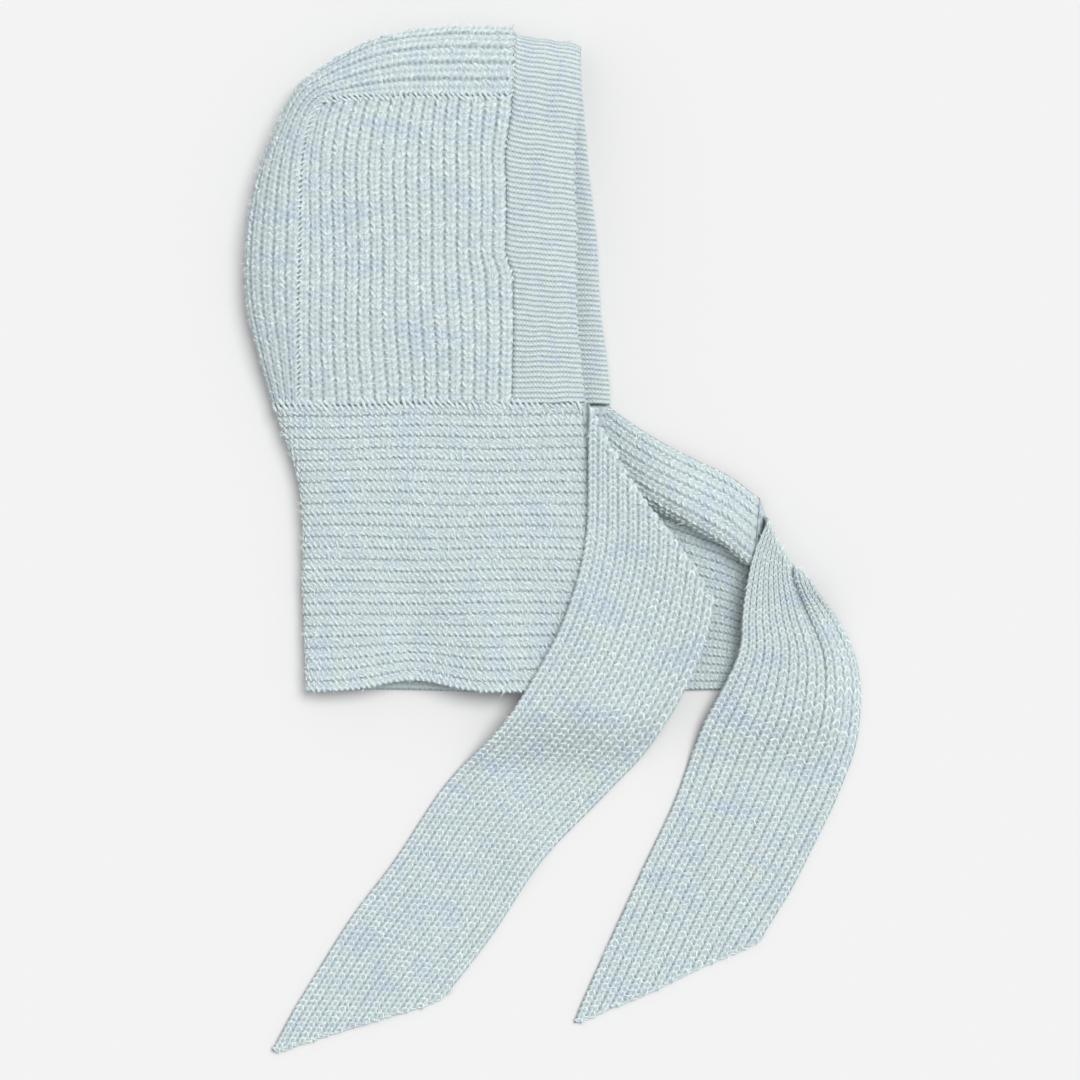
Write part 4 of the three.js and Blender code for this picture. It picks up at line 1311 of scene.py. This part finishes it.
class SCARF_OT_ties(bpy.types.Operator):
    """Knits the two ties, each folded over and ending in a slanted point"""

    bl_idname = "scarf.ties"
    bl_label = "Ties"

    def execute(self, context):
        sunk = context.scene.scarf_knit.sunk / MM
        for name, tie in (("tie_near", near_tie()), ("tie_far", far_tie())):
            surface = tie_surface(tie)
            panel = knit_panel(name + "_knit", *surface, {
                "outer": 1, "free": ("end", "first", "last"), "sunk": {1: sunk},
                **thinned(surface[0], 2, 2),
            })
            dress(panel, name, tie["knit"])
            rows = stitch_points(surface, 1, range(tie["ribs"]), (HIDDEN_TIE_ROWS, -1), sunk)
            lay_stitches(name + "_stitches", rows, name)
            point = np.s_[-2, :]
            end = edge_stitches(surface, 1, point, np.s_[:], wide=4.5, tall=5.2, lift=-0.1)
            lay_stitches(name + "_end_stitches", end, "tie_end")
        return {"FINISHED"}


class SCARF_OT_fuzz(bpy.types.Operator):
    """Brushes loose fibres out of the stitches"""

    bl_idname = "scarf.fuzz"
    bl_label = "Loose fibres"

    def execute(self, context):
        seed = context.scene.scarf_fuzz.seed
        for slot, names in (
            ("hood_knit", ("crown_panel", "hood_side_near")),
            ("scarf_knit", ("neck_collar", "neck_collar_pleat", "tie_near", "tie_far")),
            ("band_knit", ("face_band",)),
        ):
            for name in names:
                seed += 1
                brush_out(name, seed)
        return {"FINISHED"}


class SCARF_OT_stage(bpy.types.Operator):
    """Sets the pale floor, the soft lights and the camera above"""

    bl_idname = "scarf.stage"
    bl_label = "Stage"

    def execute(self, context):
        stage = context.scene.scarf_stage
        bpy.ops.mesh.primitive_plane_add(size=stage.sweep, location=(0, 0, -FLOOR_DROP * MM))
        floor = context.object
        floor.name = "floor"
        floor.data.materials.append(material_named("matt_studio_sweep", matt_sweep))
        world = bpy.data.worlds.new("soft_daylight")
        world.use_nodes = True
        world.node_tree.nodes["Background"].inputs["Color"].default_value = (1, 1, 1, 1)
        world.node_tree.nodes["Background"].inputs["Strength"].default_value = stage.fill
        context.scene.world = world
        sun = bpy.data.lights.new("soft_key", "SUN")
        sun.energy = stage.key
        sun.angle = stage.key_softness
        light = bpy.data.objects.new("soft_key", sun)
        light.rotation_euler = (-Vector(stage.key_from)).to_track_quat("-Z", "Y").to_euler()
        context.scene.collection.objects.link(light)
        camera = bpy.data.cameras.new("camera")
        camera.lens = stage.lens
        camera.sensor_width = 36
        viewer = bpy.data.objects.new("camera", camera)
        distance = stage.view_width * stage.lens / camera.sensor_width
        viewer.location = (*stage.view_centre, distance + 0.01)
        context.scene.collection.objects.link(viewer)
        context.scene.camera = viewer
        context.scene.view_settings.view_transform = "Standard"
        return {"FINISHED"}


# Sizes and colours that a user would change

def length(name, text, default):
    return bpy.props.FloatProperty(name=name, description=text, default=default, unit="LENGTH")


def colour(name, text, default):
    return bpy.props.FloatVectorProperty(
        name=name, description=text, default=linear(default), subtype="COLOR", size=3, min=0, max=1
    )


class ScarfKnit(bpy.types.PropertyGroup):
    thickness: length("Thickness", "Thickness of the rib knit", 4.0 * MM)
    band_thickness: length("Band thickness", "Thickness of the doubled face band", 7.0 * MM)
    rib_relief: length("Rib relief", "Depth of the grooves between ribs", 1.0 * MM)
    sunk: length("Sunk", "How far the knit's body lies below its stitches", 0.9 * MM)
    unevenness: bpy.props.FloatProperty(
        name="Unevenness", description="How far stitches turn from their ribs, in radians",
        default=0.13,
    )
    course: length("Course", "Height of one row of stitches", 5.0 * MM)


class ScarfYarn(bpy.types.PropertyGroup):
    mint: colour("Mint", "Main yarn colour", "#DEECEB")
    blue: colour("Blue", "Cool patches of the melange", "#CFDFEF")
    lime: colour("Lime", "Warm patches of the melange", "#E3EBDE")
    # Pale is also the painted highlight along the crests of the band's fine ridges.
    pale: colour("Pale", "Brushed fibre tips", "#F4FAFA")
    # Painted shade: the blue-grey mixed into the knit's grooves, its holes, its body under the
    # stitches and the gaps between fibres.
    painted_shade: colour("Groove", "Yarn deep between the ribs", "#6A7F88")


class ScarfFuzz(bpy.types.PropertyGroup):
    length: length("Fibre length", "Longest loose fibre", 6.0 * MM)
    width: length("Fibre width", "Width of a loose fibre at its root", 0.5 * MM)
    density: bpy.props.FloatProperty(
        name="Density", description="Loose fibres for each square metre of surface", default=105000
    )
    seed: bpy.props.IntProperty(name="Seed", description="Where the fibres fall", default=11)


class ScarfStage(bpy.types.PropertyGroup):
    floor: colour("Floor", "Colour of the studio sweep", "#D7D7D7")
    sweep: length("Sweep", "Width of the studio sweep", 12.0)
    key: bpy.props.FloatProperty(
        name="Key", description="Strength of the soft light from above", default=2.4
    )
    key_from: bpy.props.FloatVectorProperty(
        name="Key from", description="Direction that the key light comes from", size=3,
        default=(0.42, 0.4, 1.0),
    )
    key_softness: bpy.props.FloatProperty(
        name="Key softness", description="Angle that the key light fills", default=0.65,
        unit="ROTATION",
    )
    fill: bpy.props.FloatProperty(
        name="Fill", description="Strength of the light from all round", default=0.66
    )
    lens: bpy.props.FloatProperty(
        name="Lens", description="Focal length in millimetres", default=85
    )
    view_width: length("View width", "Width of the table that the camera takes in", 0.864)
    view_centre: bpy.props.FloatVectorProperty(
        name="View centre", description="Point of the table below the camera", size=2,
        default=(-0.0112, 0.0023), unit="LENGTH",
    )


class SCARF_PT_panel(bpy.types.Panel):
    bl_label = "Hooded scarf"
    bl_idname = "SCARF_PT_panel"
    bl_space_type = "VIEW_3D"
    bl_region_type = "UI"
    bl_category = "Scarf"

    def draw(self, context):
        for operator in OPERATORS:
            self.layout.operator(operator.bl_idname)


GROUPS = {
    "scarf_knit": ScarfKnit,
    "scarf_yarn": ScarfYarn,
    "scarf_fuzz": ScarfFuzz,
    "scarf_stage": ScarfStage,
}
OPERATORS = [
    SCARF_OT_hood,
    SCARF_OT_band,
    SCARF_OT_collar,
    SCARF_OT_ties,
    SCARF_OT_fuzz,
    SCARF_OT_stage,
]


def register():
    for name, group in GROUPS.items():
        bpy.utils.register_class(group)
        setattr(bpy.types.Scene, name, bpy.props.PointerProperty(type=group))
    for part in (*OPERATORS, SCARF_PT_panel):
        bpy.utils.register_class(part)


def unregister():
    for part in (SCARF_PT_panel, *reversed(OPERATORS)):
        bpy.utils.unregister_class(part)
    for name, group in GROUPS.items():
        delattr(bpy.types.Scene, name)
        bpy.utils.unregister_class(group)


def main():
    register()
    bpy.ops.scarf.hood()
    bpy.ops.scarf.band()
    bpy.ops.scarf.collar()
    bpy.ops.scarf.ties()
    bpy.ops.scarf.fuzz()
    bpy.ops.scarf.stage()


if __name__ == "__main__":
    main()
